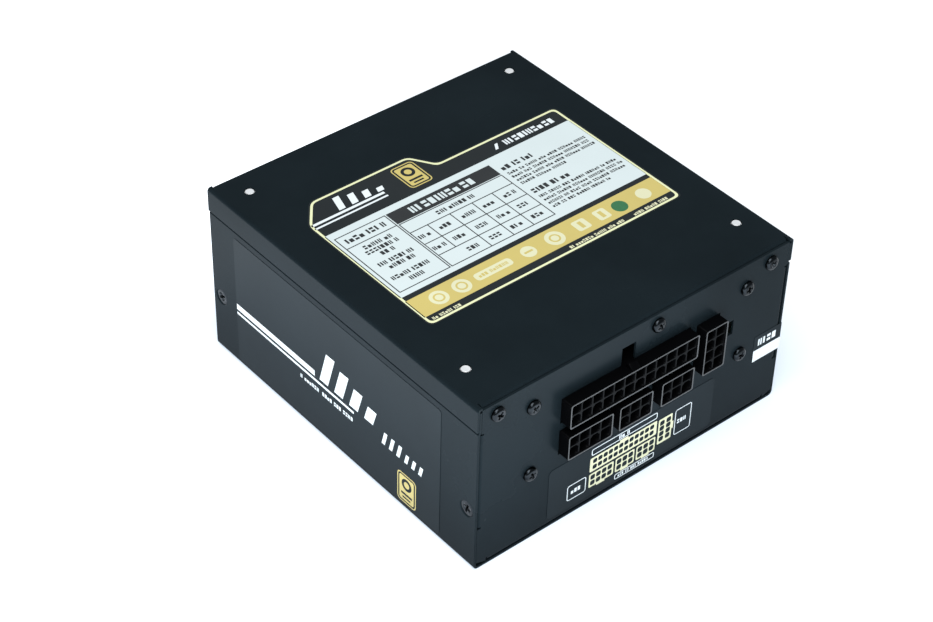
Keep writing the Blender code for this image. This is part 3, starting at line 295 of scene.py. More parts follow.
def refine(node, look, width=0.10, steps=2, angle=32.0):
    """A finished copy of a CAD solid: flat faces merged, edges rounded by width mm."""
    source = frame["nodes"][node]
    bm = bmesh.new()
    bm.from_mesh(source.data)
    bm.transform(source.matrix_world)
    bmesh.ops.remove_doubles(bm, verts=bm.verts, dist=1e-6)
    bmesh.ops.dissolve_limit(bm, angle_limit=math.radians(0.3), verts=bm.verts, edges=bm.edges)
    bmesh.ops.recalc_face_normals(bm, faces=bm.faces)
    if width:
        edges = [e for e in bm.edges if len(e.link_faces) == 2
                 and e.calc_face_angle(0.0) > math.radians(angle)]
        bmesh.ops.bevel(bm, geom=edges, offset=width * MM, offset_type="OFFSET", segments=steps,
                        profile=0.5, clamp_overlap=True, affect="EDGES")
    return add_piece(f"{node}_finished", bm, look, BODY_OF[node], replaces=(node,), mm=False,
                     smooth=46.0, flatten=True)


def circle(cx, cy, r, n=24):
    return [(cx + r * math.cos(2 * math.pi * i / n), cy + r * math.sin(2 * math.pi * i / n))
            for i in range(n)]


def rounded(x0, x1, y0, y1, r, n=5):
    """A rectangle with round corners, counter-clockwise."""
    points = []
    for cx, cy, start in ((x1 - r, y1 - r, 0), (x0 + r, y1 - r, 90),
                          (x0 + r, y0 + r, 180), (x1 - r, y0 + r, 270)):
        for i in range(n + 1):
            a = math.radians(start + 90 * i / n)
            points.append((cx + r * math.cos(a), cy + r * math.sin(a)))
    return points


def bar(x0, x1, y0, y1):
    """A plain rectangle, counter-clockwise."""
    return [(x0, y0), (x1, y0), (x1, y1), (x0, y1)]


def fill(bm, loops, place):
    """Fill the first loop, with the others as holes, on the surface that place gives."""
    edges = []
    for loop in loops:
        corners = [bm.verts.new(place(u, v)) for u, v in loop]
        edges += [bm.edges.new(pair) for pair in zip(corners, corners[1:] + corners[:1])]
    bmesh.ops.triangle_fill(bm, edges=edges, use_beauty=True, use_dissolve=False)


def band(bm, sections):
    """Join closed sections of equal length with quads."""
    rows = [[bm.verts.new(p) for p in section] for section in sections]
    for a, b in zip(rows, rows[1:]):
        for i in range(len(a)):
            j = (i + 1) % len(a)
            bm.faces.new((a[i], a[j], b[j], b[i]))
    return rows


def prism(bm, loops, low, high):
    """A flat body between the surfaces low and high."""
    fill(bm, loops, low)
    fill(bm, loops, high)
    for loop in loops:
        band(bm, [[low(u, v) for u, v in loop], [high(u, v) for u, v in loop]])
    return bm


def loft(bm, sections):
    """A closed body through the sections."""
    rows = band(bm, sections)
    bm.faces.new(rows[0])
    bm.faces.new(rows[-1])
    return bm


def lathe(bm, profile, n):
    """Turn a profile of (radius, z) about the Z axis."""
    rings = []
    for r, z in profile:
        spot = [(0.0, 0.0)] if r < 1e-6 else circle(0.0, 0.0, r, n)
        rings.append([bm.verts.new((x, y, z)) for x, y in spot])
    pairs = list(zip(rings, rings[1:]))
    if len(rings[0]) > 1 and len(rings[-1]) > 1:
        pairs.append((rings[-1], rings[0]))
    for a, b in pairs:
        for i in range(n):
            j = (i + 1) % n
            if len(a) == 1 and len(b) > 1:
                bm.faces.new((a[0], b[j], b[i]))
            elif len(b) == 1 and len(a) > 1:
                bm.faces.new((a[i], a[j], b[0]))
            elif len(a) > 1:
                bm.faces.new((a[i], a[j], b[j], b[i]))
    return bm


def tube(bm, path, r, n=12, closed=False):
    """Round rod along a path; its sections are set square to a nearly upright line."""
    sections = []
    upright = Vector((0.02, 0.03, 1.0))
    count = len(path)
    for i, point in enumerate(path):
        if closed:
            before, after = Vector(path[i - 1]), Vector(path[(i + 1) % count])
        else:
            before, after = Vector(path[max(i - 1, 0)]), Vector(path[min(i + 1, count - 1)])
        along = (after - before).normalized()
        side = along.cross(upright).normalized()
        up = along.cross(side)
        sections.append([Vector(point) + r * (math.cos(a) * side + math.sin(a) * up)
                         for a in (2 * math.pi * k / n for k in range(n))])
    if closed:
        band(bm, sections + sections[:1])
    else:
        loft(bm, sections)


# ------------------------------------------------------------------- sockets
CASE_H, HALF_D = 63.5, 65.0
SOCKET_OUT, SOCKET_DEEP, PITCH, EDGE = 4.0, 12.2, 4.2, 0.4
RECESS, THROAT, CELL_DEPTH = 0.45, 0.72, 9.5     # depths in a socket, from its front
#          name                    columns rows  x      z     latch side
SOCKETS = (("main_socket_24_way", 12, 2, -4.9, 45.2, "top"),
           ("cpu_socket_8_way", 4, 2, -21.8, 32.9, "bottom"),
           ("drive_socket_6_way_left", 3, 2, -3.7, 32.9, "bottom"),
           ("drive_socket_6_way_right", 3, 2, 13.3, 32.9, "bottom"),
           ("graphics_socket_8_way", 2, 4, 28.2, 40.1, "right"))


def cell_outline(x, z, h, cut):
    """A pocket with softened corners; keyed pockets have two corners cut."""
    c = 0.95 if cut else 0.35
    return [(x - h + 0.3, z - h), (x + h - 0.3, z - h), (x + h, z - h + 0.3), (x + h, z + h - c),
            (x + h - c, z + h), (x - h + c, z + h), (x - h, z + h - c), (x - h, z - h + 0.3)]


def at_y(y):
    return lambda u, v: Vector((u, y, v))


def ramp_profile(x, z, w, h, latch):
    """Section points (rise, depth) of the catch ramp, swept across its width."""
    front = -HALF_D - SOCKET_OUT
    profile = ((-0.3, 0.3), (0.05, 0.2), (1.6, 1.8), (1.73, 2.05), (1.73, 3.1), (1.6, 3.28),
               (-0.3, 3.28))
    rows = []
    for across in (-1.58, -1.45, 1.45, 1.58):
        inset = 0.12 if abs(across) > 1.5 else 0.0
        row = []
        for rise, back in profile:
            rise, y = max(rise - inset, -0.3), front + back
            if latch == "top":
                row.append((x + across, y, z + h / 2 + rise))
            elif latch == "bottom":
                row.append((x + across, y, z - h / 2 - rise))
            else:
                row.append((x + w / 2 + rise, y, z + across))
        rows.append(row)
    return rows


def socket(name, columns, rows, x, z, latch):
    """Housing with open cells, a rim whose front is painted pale as a highlight, a catch ramp, and
    its metal pins.
    """
    w, h = columns * PITCH + 2 * EDGE, rows * PITCH + 2 * EDGE
    front, back = -HALF_D - SOCKET_OUT, -HALF_D - SOCKET_OUT + SOCKET_DEEP
    bm = bmesh.new()
    cells, pins = [], bmesh.new()
    for column in range(columns):
        for row in range(rows):
            cx = x + (column - (columns - 1) / 2) * PITCH
            cz = z + (row - (rows - 1) / 2) * PITCH
            cut = (column + row) % 2 == 0
            mouth, throat = cell_outline(cx, cz, 1.88, cut), cell_outline(cx, cz, 1.72, cut)
            cells.append(mouth)
            band(bm, [[at_y(front + RECESS)(u, v) for u, v in mouth],
                      [at_y(front + THROAT)(u, v) for u, v in throat],
                      [at_y(front + CELL_DEPTH)(u, v) for u, v in throat]])
            fill(bm, [throat], at_y(front + CELL_DEPTH))
            spots = [(front + 9.9, 0.5), (front + 5.0, 0.5), (front + 4.0, 0.22)]
            loft(pins, [[(cx - s, y, cz - s), (cx + s, y, cz - s), (cx + s, y, cz + s),
                         (cx - s, y, cz + s)] for y, s in spots])

    def outline(inset, corner):
        return rounded(x - w / 2 + inset, x + w / 2 - inset, z - h / 2 + inset,
                       z + h / 2 - inset, corner, 4)
    fill(bm, [outline(0.50, 0.5)] + cells, at_y(front + RECESS))
    sections = ((RECESS, 0.50, 0.5), (0.10, 0.50, 0.5), (0.0, 0.42, 0.5), (0.0, 0.10, 0.62),
                (0.03, 0.03, 0.68), (0.10, 0.0, 0.7), (SOCKET_DEEP, 0.0, 0.7))
    band(bm, [[at_y(front + deep)(u, v) for u, v in outline(inset, corner)]
              for deep, inset, corner in sections])
    fill(bm, [outline(0.0, 0.7)], at_y(back))
    loft(bm, ramp_profile(x, z, w, h, latch))
    item = add_piece(f"{name}_housing", bm, "shell", replaces=(name,), smooth=40.0)
    item.data.materials.append(LOOK["lip"])
    item.data.materials.append(LOOK["rib_highlight"])
    # front faces of the outer rim and of the ribs between cells get the lighter looks: painted
    # highlights on the black nylon
    for face in item.data.polygons:
        deep = face.center.y / MM - front
        if face.normal.y < -0.6 and deep < 0.12:
            face.material_index = 1
        elif face.normal.y < -0.6 and deep < 0.7:
            face.material_index = 2
    add_piece(f"{name}_pins", pins, "tin", slot="brass", smooth=20.0)


# -------------------------------------------------------------------- screws
def cross_outline(arm, wide, n=3):
    """Phillips cross with round inner corners."""
    points = []
    for quarter in range(4):
        turn = math.radians(90 * quarter)
        local = [(arm, -wide), (arm, wide)]
        for i in range(n):
            a = math.radians(270 - 90 * (i + 0.5) / n)
            r = wide * 0.9
            local.append((wide + r + r * math.cos(a), wide + r + r * math.sin(a)))
        for px, py in local:
            points.append((px * math.cos(turn) - py * math.sin(turn),
                           px * math.sin(turn) + py * math.cos(turn)))
    return points


def screw_piece(node, at, aim, profile, drive, turn):
    """A screw with its head towards aim; drive is the cross's arm, half-width and depth."""
    bm = bmesh.new()
    arm, wide, deep = drive
    top_r, top_z = profile[0]
    cross, foot = cross_outline(arm, wide), cross_outline(arm * 0.66, wide * 0.75)
    rim = cross_outline(arm * 1.06, wide * 1.16)
    fill(bm, [circle(0, 0, top_r, 36), rim], lambda u, v: Vector((u, v, top_z)))
    band(bm, [[(u, v, top_z) for u, v in rim], [(u, v, top_z - 0.08) for u, v in cross],
              [(u, v, top_z - deep) for u, v in foot]])
    fill(bm, [foot], lambda u, v: Vector((u, v, top_z - deep)))
    band(bm, [[(u, v, z) for u, v in circle(0, 0, r, 36)] for r, z in profile])
    fill(bm, [circle(0, 0, profile[-1][0], 36)], lambda u, v: Vector((u, v, profile[-1][1])))
    bmesh.ops.rotate(bm, verts=bm.verts, matrix=Matrix.Rotation(turn, 3, "Z"))
    aimed = Vector((0, 0, 1)).rotation_difference(Vector(aim)).to_matrix().to_4x4()
    bmesh.ops.transform(bm, matrix=Matrix.Translation(Vector(at)) @ aimed, verts=bm.verts)
    add_piece(f"{node}_finished", bm, "screw", replaces=(node,), smooth=38.0)


def thread(r, start, end, pitch=0.5):
    """Shank profile with rounded thread ridges, head side first."""
    rows, z = [], start
    while z > end:
        rows += [(r - 0.22, z), (r - 0.02, z - pitch * 0.5)]
        z -= pitch
    return rows + [(r - 0.22, end), (r - 0.5, end - 0.4)]


def centre(node):
    """Middle of a CAD node's box, in millimetres."""
    low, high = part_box(node)
    return [(a + b) / 2 / MM for a, b in zip(low, high)]


def screws():
    pan = [(1.4, 1.4), (1.7, 1.36), (2.08, 1.16), (2.34, 0.84), (2.46, 0.5), (2.5, 0.2),
           (2.46, 0.04), (2.38, 0.0)] + thread(1.5, -0.1, -4.0)
    flat = [(2.46, 0.0), (2.56, -0.03), (2.6, -0.1), (2.05, -0.55)] + thread(1.5, -0.6, -4.5)
    fan = [(1.7, 1.3), (2.3, 1.24), (2.9, 1.05), (3.25, 0.75), (3.4, 0.35), (3.4, 0.05),
           (3.3, 0.0)] + thread(2.2, -0.1, -9.2, 0.9)
    turns = (0.35, 1.1, 0.75, 0.2, 1.3, 0.55, 0.95, 0.1, 1.2, 0.6, 0.3, 0.85, 1.0, 0.45, 0.7)
    names = sorted(n for n in frame["nodes"] if "_screw_" in n)
    for turn, node in zip(turns, names):
        x, y, z = centre(node)
        if node.startswith("fan"):
            screw_piece(node, (x, y, 2.05), (0, 0, -1), fan, (1.6, 0.42, 0.85), turn)
        elif node.startswith("cover"):
            side = math.copysign(1, x)
            head = max(abs(corner[0]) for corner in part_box(node)) / MM
            screw_piece(node, (side * head, y, z), (side, 0, 0), flat, (1.5, 0.38, 0.95), turn)
        else:
            screw_piece(node, (x, -65.02, z), (0, -1, 0), pan, (1.25, 0.34, 0.9), turn)


# ------------------------------------------------------------------ printing
def with_holes(shape):
    """A shape is one outline, or a list of an outline and its holes."""
    return shape if isinstance(shape[0], list) else [shape]


def ink(name, shapes, place, look, lift=FILM, thick=INK):
    """Printed shapes: one thin body for each, lifted off its film."""
    bm = bmesh.new()
    for shape in shapes:
        prism(bm, with_holes(shape), place(lift), place(lift + thick))
    add_piece(name, bm, look, slot="printed_film", smooth=20.0)


def text_rows(x0, x1, y, height, seed, space=0.9):
    """A row of plain blocks in word-like groups that stands for a line of print."""
    blocks, x, k = [], x0, seed
    wide, slit = height * 0.62, height * 0.22
    low, high = y - height / 2, y + height / 2
    third, stem = height * 0.38, height * 0.24
    while x + wide <= x1:
        k = (k * 73 + 41) % 97
        for _ in range(2 + k % 6):
            if x + wide > x1 + 1e-6:
                break
            k = (k * 31 + 17) % 89
            end = x + wide
            if k % 5 == 0:
                blocks += [bar(x, end, low, low + third), bar(x, end, high - third, high)]
            elif k % 5 == 1:
                blocks += [bar(x, x + stem, low, high), bar(end - stem, end, low, high)]
            elif k % 5 == 2:
                blocks.append(bar(x, end, low, high - height * 0.28))
            elif k % 5 == 3:
                end = x + stem * 1.3
                blocks.append(bar(x, end, low, high))
            else:
                blocks.append(bar(x, end, low, high))
            x = end + slit
        x += height * space * 0.6
    return blocks


def slanted(x, y, wide, high, lean):
    """A leaning stroke that stands on (x, y)."""
    return [(x, y), (x + wide, y), (x + wide + lean, y + high), (x + lean, y + high)]


def frame_line(x0, x1, y0, y1, t, r=0.0):
    """A rectangular line, t wide, with corners of radius r."""
    if r:
        return [rounded(x0, x1, y0, y1, r),
                rounded(x0 + t, x1 - t, y0 + t, y1 - t, max(r - t, 0.1))]
    return [bar(x0, x1, y0, y1), bar(x0 + t, x1 - t, y0 + t, y1 - t)]


def soft_outline(points, radius, n=4):
    """Round every corner of a polygon."""
    out = []
    count = len(points)
    for i, point in enumerate(points):
        here, before, after = Vector(point), Vector(points[i - 1]), Vector(points[(i + 1) % count])
        a, b = before - here, after - here
        reach = min(radius, a.length * 0.45, b.length * 0.45)
        start, end = here + a.normalized() * reach, here + b.normalized() * reach
        for k in range(n + 1):
            t = k / n
            spot = start.lerp(here, t).lerp(here.lerp(end, t), t)
            out.append((spot.x, spot.y))
    return out


def shrink(points, d):
    """Move a closed counter-clockwise outline inwards by d."""
    out = []
    count = len(points)
    for i, point in enumerate(points):
        here = Vector(point)
        a = (here - Vector(points[i - 1])).normalized()
        b = (Vector(points[(i + 1) % count]) - here).normalized()
        na, nb = Vector((-a.y, a.x)), Vector((-b.y, b.x))
        half = na + nb
        half = half / max(half.length_squared / 2, 0.2)
        spot = here + half * d
        out.append((spot.x, spot.y))
    return out


LABEL = [(50.5, 31.3), (1.5, 31.3), (-4.0, 39.8), (-42.3, 39.8), (-50.0, 30.0), (-50.0, -29.0),
         (50.5, -29.0)]


def on_top(lift):
    return lambda u, v: Vector((u, v, TOP_FILM + lift))


def on_front(lift):
    return lambda u, v: Vector((u, -FRONT_FILM - lift, v))


def on_side(lift):
    return lambda u, v: Vector((-SIDE_FILM - lift, u, v))


def rating_label():
    label_ground()
    label_table()
    label_small_print()
    label_badges()
    label_head_and_foot()


def label_ground():
    place = on_top
    bm = prism(bmesh.new(), [soft_outline(LABEL, 2.2)], place(0.0), place(FILM))
    add_piece("rating_label_film", bm, "film", replaces=("rating_label",), smooth=20.0)
    rim = soft_outline(shrink(LABEL, 0.55), 2.0)
    inner = soft_outline(shrink(LABEL, 1.35), 1.6)
    ink("rating_label_border", [[rim, inner]], place, "yellow")
    ink("rating_label_panel", [rounded(-49.0, 49.3, -13.8, 23.0, 0.5, 2)], place, "paper")
    ink("rating_label_band", [bar(-49.0, 49.2, -24.9, -15.8)], place, "gold")


def label_table():
    place = on_top
    lines, t = [], 0.36
    lines.append(frame_line(-47.6, -28.2, -11.7, 20.2, t))
    lines.append(bar(-47.2, -28.6, 13.8, 14.16))
    for y in (8.5, 1.5, -5.1):
        lines.append(bar(-27.4, 12.9, y - t / 2, y + t / 2))
    lines.append(frame_line(-27.8, 13.3, -11.7, 13.9, t))
    for x, low in ((-20.9, -4.9), (-12.1, -11.3), (-3.3, -11.3), (4.7, -11.3)):
        lines.append(bar(x - t / 2, x + t / 2, low, 8.3))
    ink("rating_label_grid", lines, place, "dark", SECOND)
    ink("rating_label_header", [bar(-27.8, 13.3, 14.2, 20.2)], place, "dark", SECOND)
    ink("rating_label_header_print", text_rows(-20.6, 7.4, 17.2, 3.1, 3, 0.4), place, "paper",
        THIRD, THIN_INK)


def label_small_print():
    small = text_rows(-45.4, -30.6, 17.0, 2.3, 11, 0.7)
    for k, (y, x0, x1) in enumerate(((11.4, -43.0, -32.6), (8.8, -44.0, -32.0), (6.2, -40.5, -35.4),
                                     (2.2, -44.6, -31.0), (-0.4, -42.6, -33.0),
                                     (-5.2, -45.4, -30.6), (-8.2, -41.0, -35.0))):
        small += text_rows(x0, x1, y, 1.8, 17 + 5 * k, 0.7)
    small += text_rows(-15.0, 0.4, 11.2, 1.8, 31, 0.7)
    for row, y in enumerate((5.0, -1.8, -8.3)):
        for k, x in enumerate((-24.4, -16.5, -7.7, 0.7, 9.0)):
            if row == 2 and k == 0:
                continue
            small += text_rows(x - 2.5, x + 2.8, y, 1.8, 7 * k + 3 * row + 2, 0.5)
    small += text_rows(15.2, 29.0, 16.2, 2.2, 53, 0.7) + text_rows(15.2, 31.0, 1.4, 2.2, 59, 0.7)
    for k, y in enumerate((13.0, 10.9, 8.8, 6.7)):
        small += text_rows(15.2, 47.8 - (14 if k == 3 else 0), y, 1.2, 61 + 3 * k)
    for k, y in enumerate((-1.9, -4.0, -6.1, -8.2)):
        small += text_rows(15.2, 47.8 - (8 if k == 3 else 0), y, 1.2, 83 + 7 * k)
    ink("rating_label_small_print", small, on_top, "dark", SECOND)


def label_badges():
    place = on_top
    discs = [circle(x, -20.4, 3.1, 32) for x in (-39.9, -31.3)]
    discs += [rounded(-26.0, -12.0, -22.0, -18.6, 1.2), circle(-5.3, -20.4, 2.6, 28),
              circle(5.2, -20.4, 3.3, 32), rounded(13.4, 18.4, -22.9, -17.9, 0.8),
              rounded(22.0, 26.6, -22.9, -17.9, 0.8), circle(41.5, -20.6, 2.6, 28)]
    ink("rating_label_badges", discs, place, "cream", SECOND)
    ink("rating_label_green_disc", [circle(31.4, -20.8, 2.7, 32)], place, "green", SECOND)
    marks = [[circle(x, -20.4, 1.9, 24), circle(x, -20.4, 1.3, 24)] for x in (-39.9, -31.3, 5.2)]
    marks += text_rows(-24.6, -13.4, -20.3, 1.4, 9) + [bar(15.2, 16.6, -22.0, -18.8)]
    marks += [bar(23.6, 25.0, -22.0, -18.8), bar(-6.9, -3.7, -20.8, -20.0)]
    ink("rating_label_badge_marks", marks, place, "gold", THIRD, THIN_INK)


def label_head_and_foot():
    place = on_top
    foot = text_rows(-47.4, -36.6, -26.7, 1.2, 5) + text_rows(5.8, 27.6, -26.7, 1.2, 29)
    foot += text_rows(32.0, 46.2, -26.7, 1.2, 37)
    ink("rating_label_foot_print", foot, place, "cream")
    head = [bar(-49.0, -21.0, 28.9, 29.9), bar(-49.0, -21.0, 27.2, 27.9)]
    head += [slanted(-37.4 + 5.0 * k, 30.6, 2.4, 6.2 - 1.4 * k, 1.8 - 0.4 * k) for k in range(4)]
    head += text_rows(25.0, 47.4, 26.3, 2.6, 3, 0.2) + [slanted(20.4, 25.0, 1.2, 2.6, 1.6)]
    ink("rating_label_head_print", head, place, "white")
    ink("rating_label_seal_mark", seal_mark(-8.75, 31.3), place, "gold")


def seal_mark(x, y):
    """Plain rating badge: a gold frame round a gold plate with a dark ring and two bars."""
    ring = [rounded(x - 4.4, x + 4.4, y - 5.9, y + 5.9, 1.5),
            rounded(x - 4.0, x + 4.0, y - 5.5, y + 5.5, 1.2)]
    plate = [rounded(x - 3.4, x + 3.4, y - 4.9, y + 4.9, 0.7), circle(x, y + 1.8, 2.35, 28),
             bar(x - 2.6, x + 2.6, y - 2.7, y - 1.8), bar(x - 1.9, x + 1.9, y - 4.1, y - 3.4)]
    return [ring, plate, circle(x, y + 1.8, 1.25, 24)]


def side_decal():
    place = on_side
    bm = prism(bmesh.new(), [rounded(-49.0, 52.4, 2.2, 51.8, 1.2)], place(0.0), place(FILM))
    add_piece("side_decal_film", bm, "side_film", replaces=("side_decal",), smooth=20.0)
    shapes = [bar(11.5, 52.2, 23.2, 25.4), bar(-8.0, 52.2, 21.3, 22.2)]
    shapes += [slanted(9.0 - 7.4 * k, 23.6, -4.2, 12.4 - 2.2 * k, -3.6 + 0.6 * k)
               for k in range(4)]
    ink("side_decal_stripes", shapes, place, "white")
    words = [slanted(-21.6 - 3.5 * k, 19.6, -1.5, 5.0, -1.3) for k in range(3)]
    words += [slanted(-32.4 - 3.3 * k, 19.6, -1.4, 3.6, -0.9) for k in range(3)]
    ink("side_decal_print", words, place, "white")
    small = text_rows(-7.4, 8.0, 18.5, 1.5, 13) + text_rows(9.6, 19.4, 18.5, 1.5, 19)
    ink("side_decal_small_print", small, place, "white")
    ink("side_decal_badge", seal_mark(-33.6, 8.9), place, "gold")


def socket_plan(columns, rows, x0, x1, z0, z1):
    """Printed plan of one socket: a plate with a hole for each cell."""
    wide, high = x1 - x0, z1 - z0
    r = 0.385 * min(wide / columns, high / rows)
    holes = []
    for i in range(columns):
        for j in range(rows):
            cx = x0 + wide * (i + 0.5) / columns * 0.93 + wide * 0.035
            cz = z0 + high * (j + 0.5) / rows * 0.86 + high * 0.07
            holes.append(rounded(cx - r, cx + r, cz - r, cz + r, r * 0.6, 2))
    return [rounded(x0, x1, z0, z1, 0.5)] + holes


def socket_chart():
    place = on_front
    bm = prism(bmesh.new(), [rounded(-34.0, 34.0, 3.0, 22.9, 1.6)], place(0.0), place(FILM))
    add_piece("socket_chart_film", bm, "side_film", replaces=("socket_chart_decal",), smooth=20.0)

    plans = [socket_plan(*entry) for entry in (
        (12, 2, -17.4, 10.0, 12.8, 18.4), (4, 2, -17.4, -7.4, 6.4, 11.9),
        (3, 2, -6.6, 1.2, 6.4, 11.9), (3, 2, 2.0, 9.9, 6.4, 11.9), (2, 4, 10.8, 16.6, 7.7, 17.9))]
    ink("socket_chart_plans", plans, place, "cream")
    tabs = [bar(-5.4, -2.0, 18.4, 19.1), bar(-14.2, -10.8, 5.8, 6.4), bar(-4.3, -1.1, 5.8, 6.4),
            bar(4.3, 7.5, 5.8, 6.4), bar(16.6, 17.2, 11.4, 14.4)]
    ink("socket_chart_tabs", tabs, place, "cream")
    boxes = [frame_line(-17.0, 9.9, 19.4, 22.0, 0.3, 0.7),
             frame_line(-26.2, -18.6, 6.0, 12.2, 0.3, 0.9),
             frame_line(17.8, 24.8, 7.6, 18.0, 0.3, 0.9), frame_line(-6.6, 9.9, 3.3, 5.5, 0.3, 0.6)]
    ink("socket_chart_captions", boxes, place, "white")
    words = text_rows(-5.9, -1.0, 20.7, 1.5, 5) + text_rows(-24.6, -20.2, 9.1, 1.6, 9)
    words += text_rows(18.9, 23.8, 12.8, 1.6, 15) + text_rows(-5.2, 8.6, 4.4, 1.0, 7)
    ink("socket_chart_words", words, place, "white")


def seal():
    """Split sticker that wraps the corner: dark band above, white band below."""
    def wrap(lift, thick, z0, z1, x0, y1):
        a, b = SIDE_FILM + lift, -FRONT_FILM - lift
        loop = [(x0, b), (x0, b - thick), (a + thick, b - thick), (a + thick, y1), (a, y1), (a, b)]
        return prism(bmesh.new(), [loop], lambda u, v: Vector((u, v, z0)),
                     lambda u, v: Vector((u, v, z1)))
    add_piece("seal_sticker_film", wrap(0.0, FILM, 19.6, 30.0, 50.4, -54.6), "side_film",
              replaces=("seal_sticker",), smooth=20.0)
    add_piece("seal_sticker_white_band", wrap(FILM, 0.02, 19.7, 24.2, 50.5, -54.7), "white",
              slot="printed_film", smooth=20.0)
    words = text_rows(52.2, 61.2, 27.0, 2.6, 3, 0.2)
    ink("seal_sticker_print", words, on_front, "white")


# ----------------------------------------------------------------------- fan
BLADES = 9
FAN_HOLE = 52.5                   # distance of the fan's screws from its middle, in x and in y


def wire_guard():
    """Five rings and four spokes with eyes for the screws, and a plain disc in the middle."""
    z = 2.2
    bm = bmesh.new()
    for r, n in ((15.0, 64), (25.0, 80), (35.0, 96), (45.0, 112), (54.6, 128)):
        ring = [(x, y, z - 0.42) for x, y in circle(0, 0, r, n)]
        tube(bm, ring, 0.62, 12, True)
    reach = FAN_HOLE * math.sqrt(2)
    for k in range(4):
        a = math.radians(45 + 90 * k)
        line = [(r * math.cos(a), r * math.sin(a), z + 0.1)
                for r in (5.5, 20, 40, 56, reach - 3.1)]
        tube(bm, line, 0.6, 12)
        cx, cy = reach * math.cos(a), reach * math.sin(a)
        tube(bm, [(x, y, z + 0.12) for x, y in circle(cx, cy, 3.2, 40)], 0.6, 12, True)
    lathe(bm, [(0, 1.95), (6.4, 1.95), (6.8, 2.1), (7.0, 2.35), (7.0, 2.6), (6.8, 2.8),
               (6.4, 2.9), (0, 2.9)], 48)
    add_piece("fan_guard_wires", bm, "wire", replaces=("fan_guard",), smooth=50.0)


def rotor():
    """Hub with swept blades and the sticker on its underside."""
    low = 4.6
    bm = bmesh.new()
    cup = [(0, low), (16.9, low), (18.4, low + 0.12), (19.4, low + 0.5), (19.9, low + 1.1),
           (20.0, low + 1.8), (20.0, low + 10.8), (19.8, low + 11.0), (18.7, low + 11.0),
           (18.5, low + 10.8), (18.5, low + 1.6), (3.4, low + 1.6), (3.4, low + 2.6),
           (1.56, low + 2.6), (1.56, low + 0.8), (0, low + 0.8)]
    lathe(bm, cup, 96)
    for k in range(BLADES):
        rows = []
        for i in range(10):
            t = i / 9
            r = 19.2 + (56.0 - 19.2) * t
            chord = 6.6 + 7.0 * t - 1.2 * max(0.0, t - 0.85) / 0.15
            pitch = math.radians(46 - 23 * t)
            row = []
            for along, lift in ((-1.0, 0.0), (-0.6, 0.62), (0.0, 0.85), (0.6, 0.62), (1.0, 0.0),
                                (0.96, -0.22), (0.6, 0.02), (0.0, 0.18), (-0.6, 0.02),
                                (-0.96, -0.30)):
                lift = lift * 1.25
                d = along * chord * math.cos(pitch) - lift * math.sin(pitch)
                z = along * chord * math.sin(pitch) + lift * math.cos(pitch)
                a = 2 * math.pi * k / BLADES + d / r
                row.append((r * math.cos(a), r * math.sin(a), 10.75 - z))
            rows.append(row)
        loft(bm, rows)
    add_piece("fan_rotor_moulding", bm, "fan", "fan_rotor_body", replaces=("fan_rotor",),
              smooth=40.0)
    disc = lathe(bmesh.new(), [(0, low - 0.02), (15.6, low - 0.02), (15.6, low + 0.3),
                               (0, low + 0.3)], 72)
    add_piece("fan_hub_sticker", disc, "film", "fan_rotor_body", slot="printed_film")
    ring = lathe(bmesh.new(), [(12.4, low - 0.035), (14.6, low - 0.035), (14.6, low + 0.1),
                               (12.4, low + 0.1)], 72)
    add_piece("fan_hub_sticker_ring", ring, "grey", "fan_rotor_body", slot="printed_film")


def stator_coils():
    """Windings on the four poles, seen between the hub and the frame."""
    bm = bmesh.new()
    for k in range(4):
        a = math.radians(45 + 90 * k)
        out, side = Vector((math.cos(a), math.sin(a), 0)), Vector((-math.sin(a), math.cos(a), 0))
        for layer in range(6):
            r = 8.4 + layer * 0.95
            loop = []
            for i in range(28):
                t = 2 * math.pi * i / 28
                loop.append(Vector((0, 0, 11.35)) + out * r + side * 3.0 * math.cos(t)
                            + Vector((0, 0, 3.5 * math.sin(t))))
            tube(bm, loop, 0.46, 8, True)
    add_piece("fan_stator_windings", bm, "copper", slot="enamelled_copper", smooth=60.0)


# --------------------------------------------------------------------- mains
def switch_marks():
    """Moulded-in I and O on the two halves of the rocker."""
    pivot = Vector((-12.0, 62.6, 36.0))
    tilt = Matrix.Rotation(math.radians(12.0), 3, "X")

    def place(half):
        slope = math.atan2(5.29 - 4.0, 6.78 - 3.4)
        base = Vector((0.0, 4.0, 3.4 * half))
        along = Vector((0.0, math.sin(slope), math.cos(slope) * half))
        normal = Vector((0.0, math.cos(slope), -math.sin(slope) * half))

        def at_lift(lift):
            return lambda u, v: pivot + tilt @ (base + Vector((u, 0, 0)) + along * v
                                                + normal * lift)
        return at_lift
    upper, lower = place(1), place(-1)
    ring = [circle(0, 1.75, 1.45, 32), circle(0, 1.75, 0.95, 32)]
    for name, put, shape in (("rocker_on_mark", upper, bar(-0.35, 0.35, 0.3, 3.2)),
                             ("rocker_off_mark", lower, ring)):
        bm = prism(bmesh.new(), with_holes(shape), put(-0.05), put(0.03))
        add_piece(name, bm, "mark", "rocker_body", slot="black_nylon", smooth=20.0)


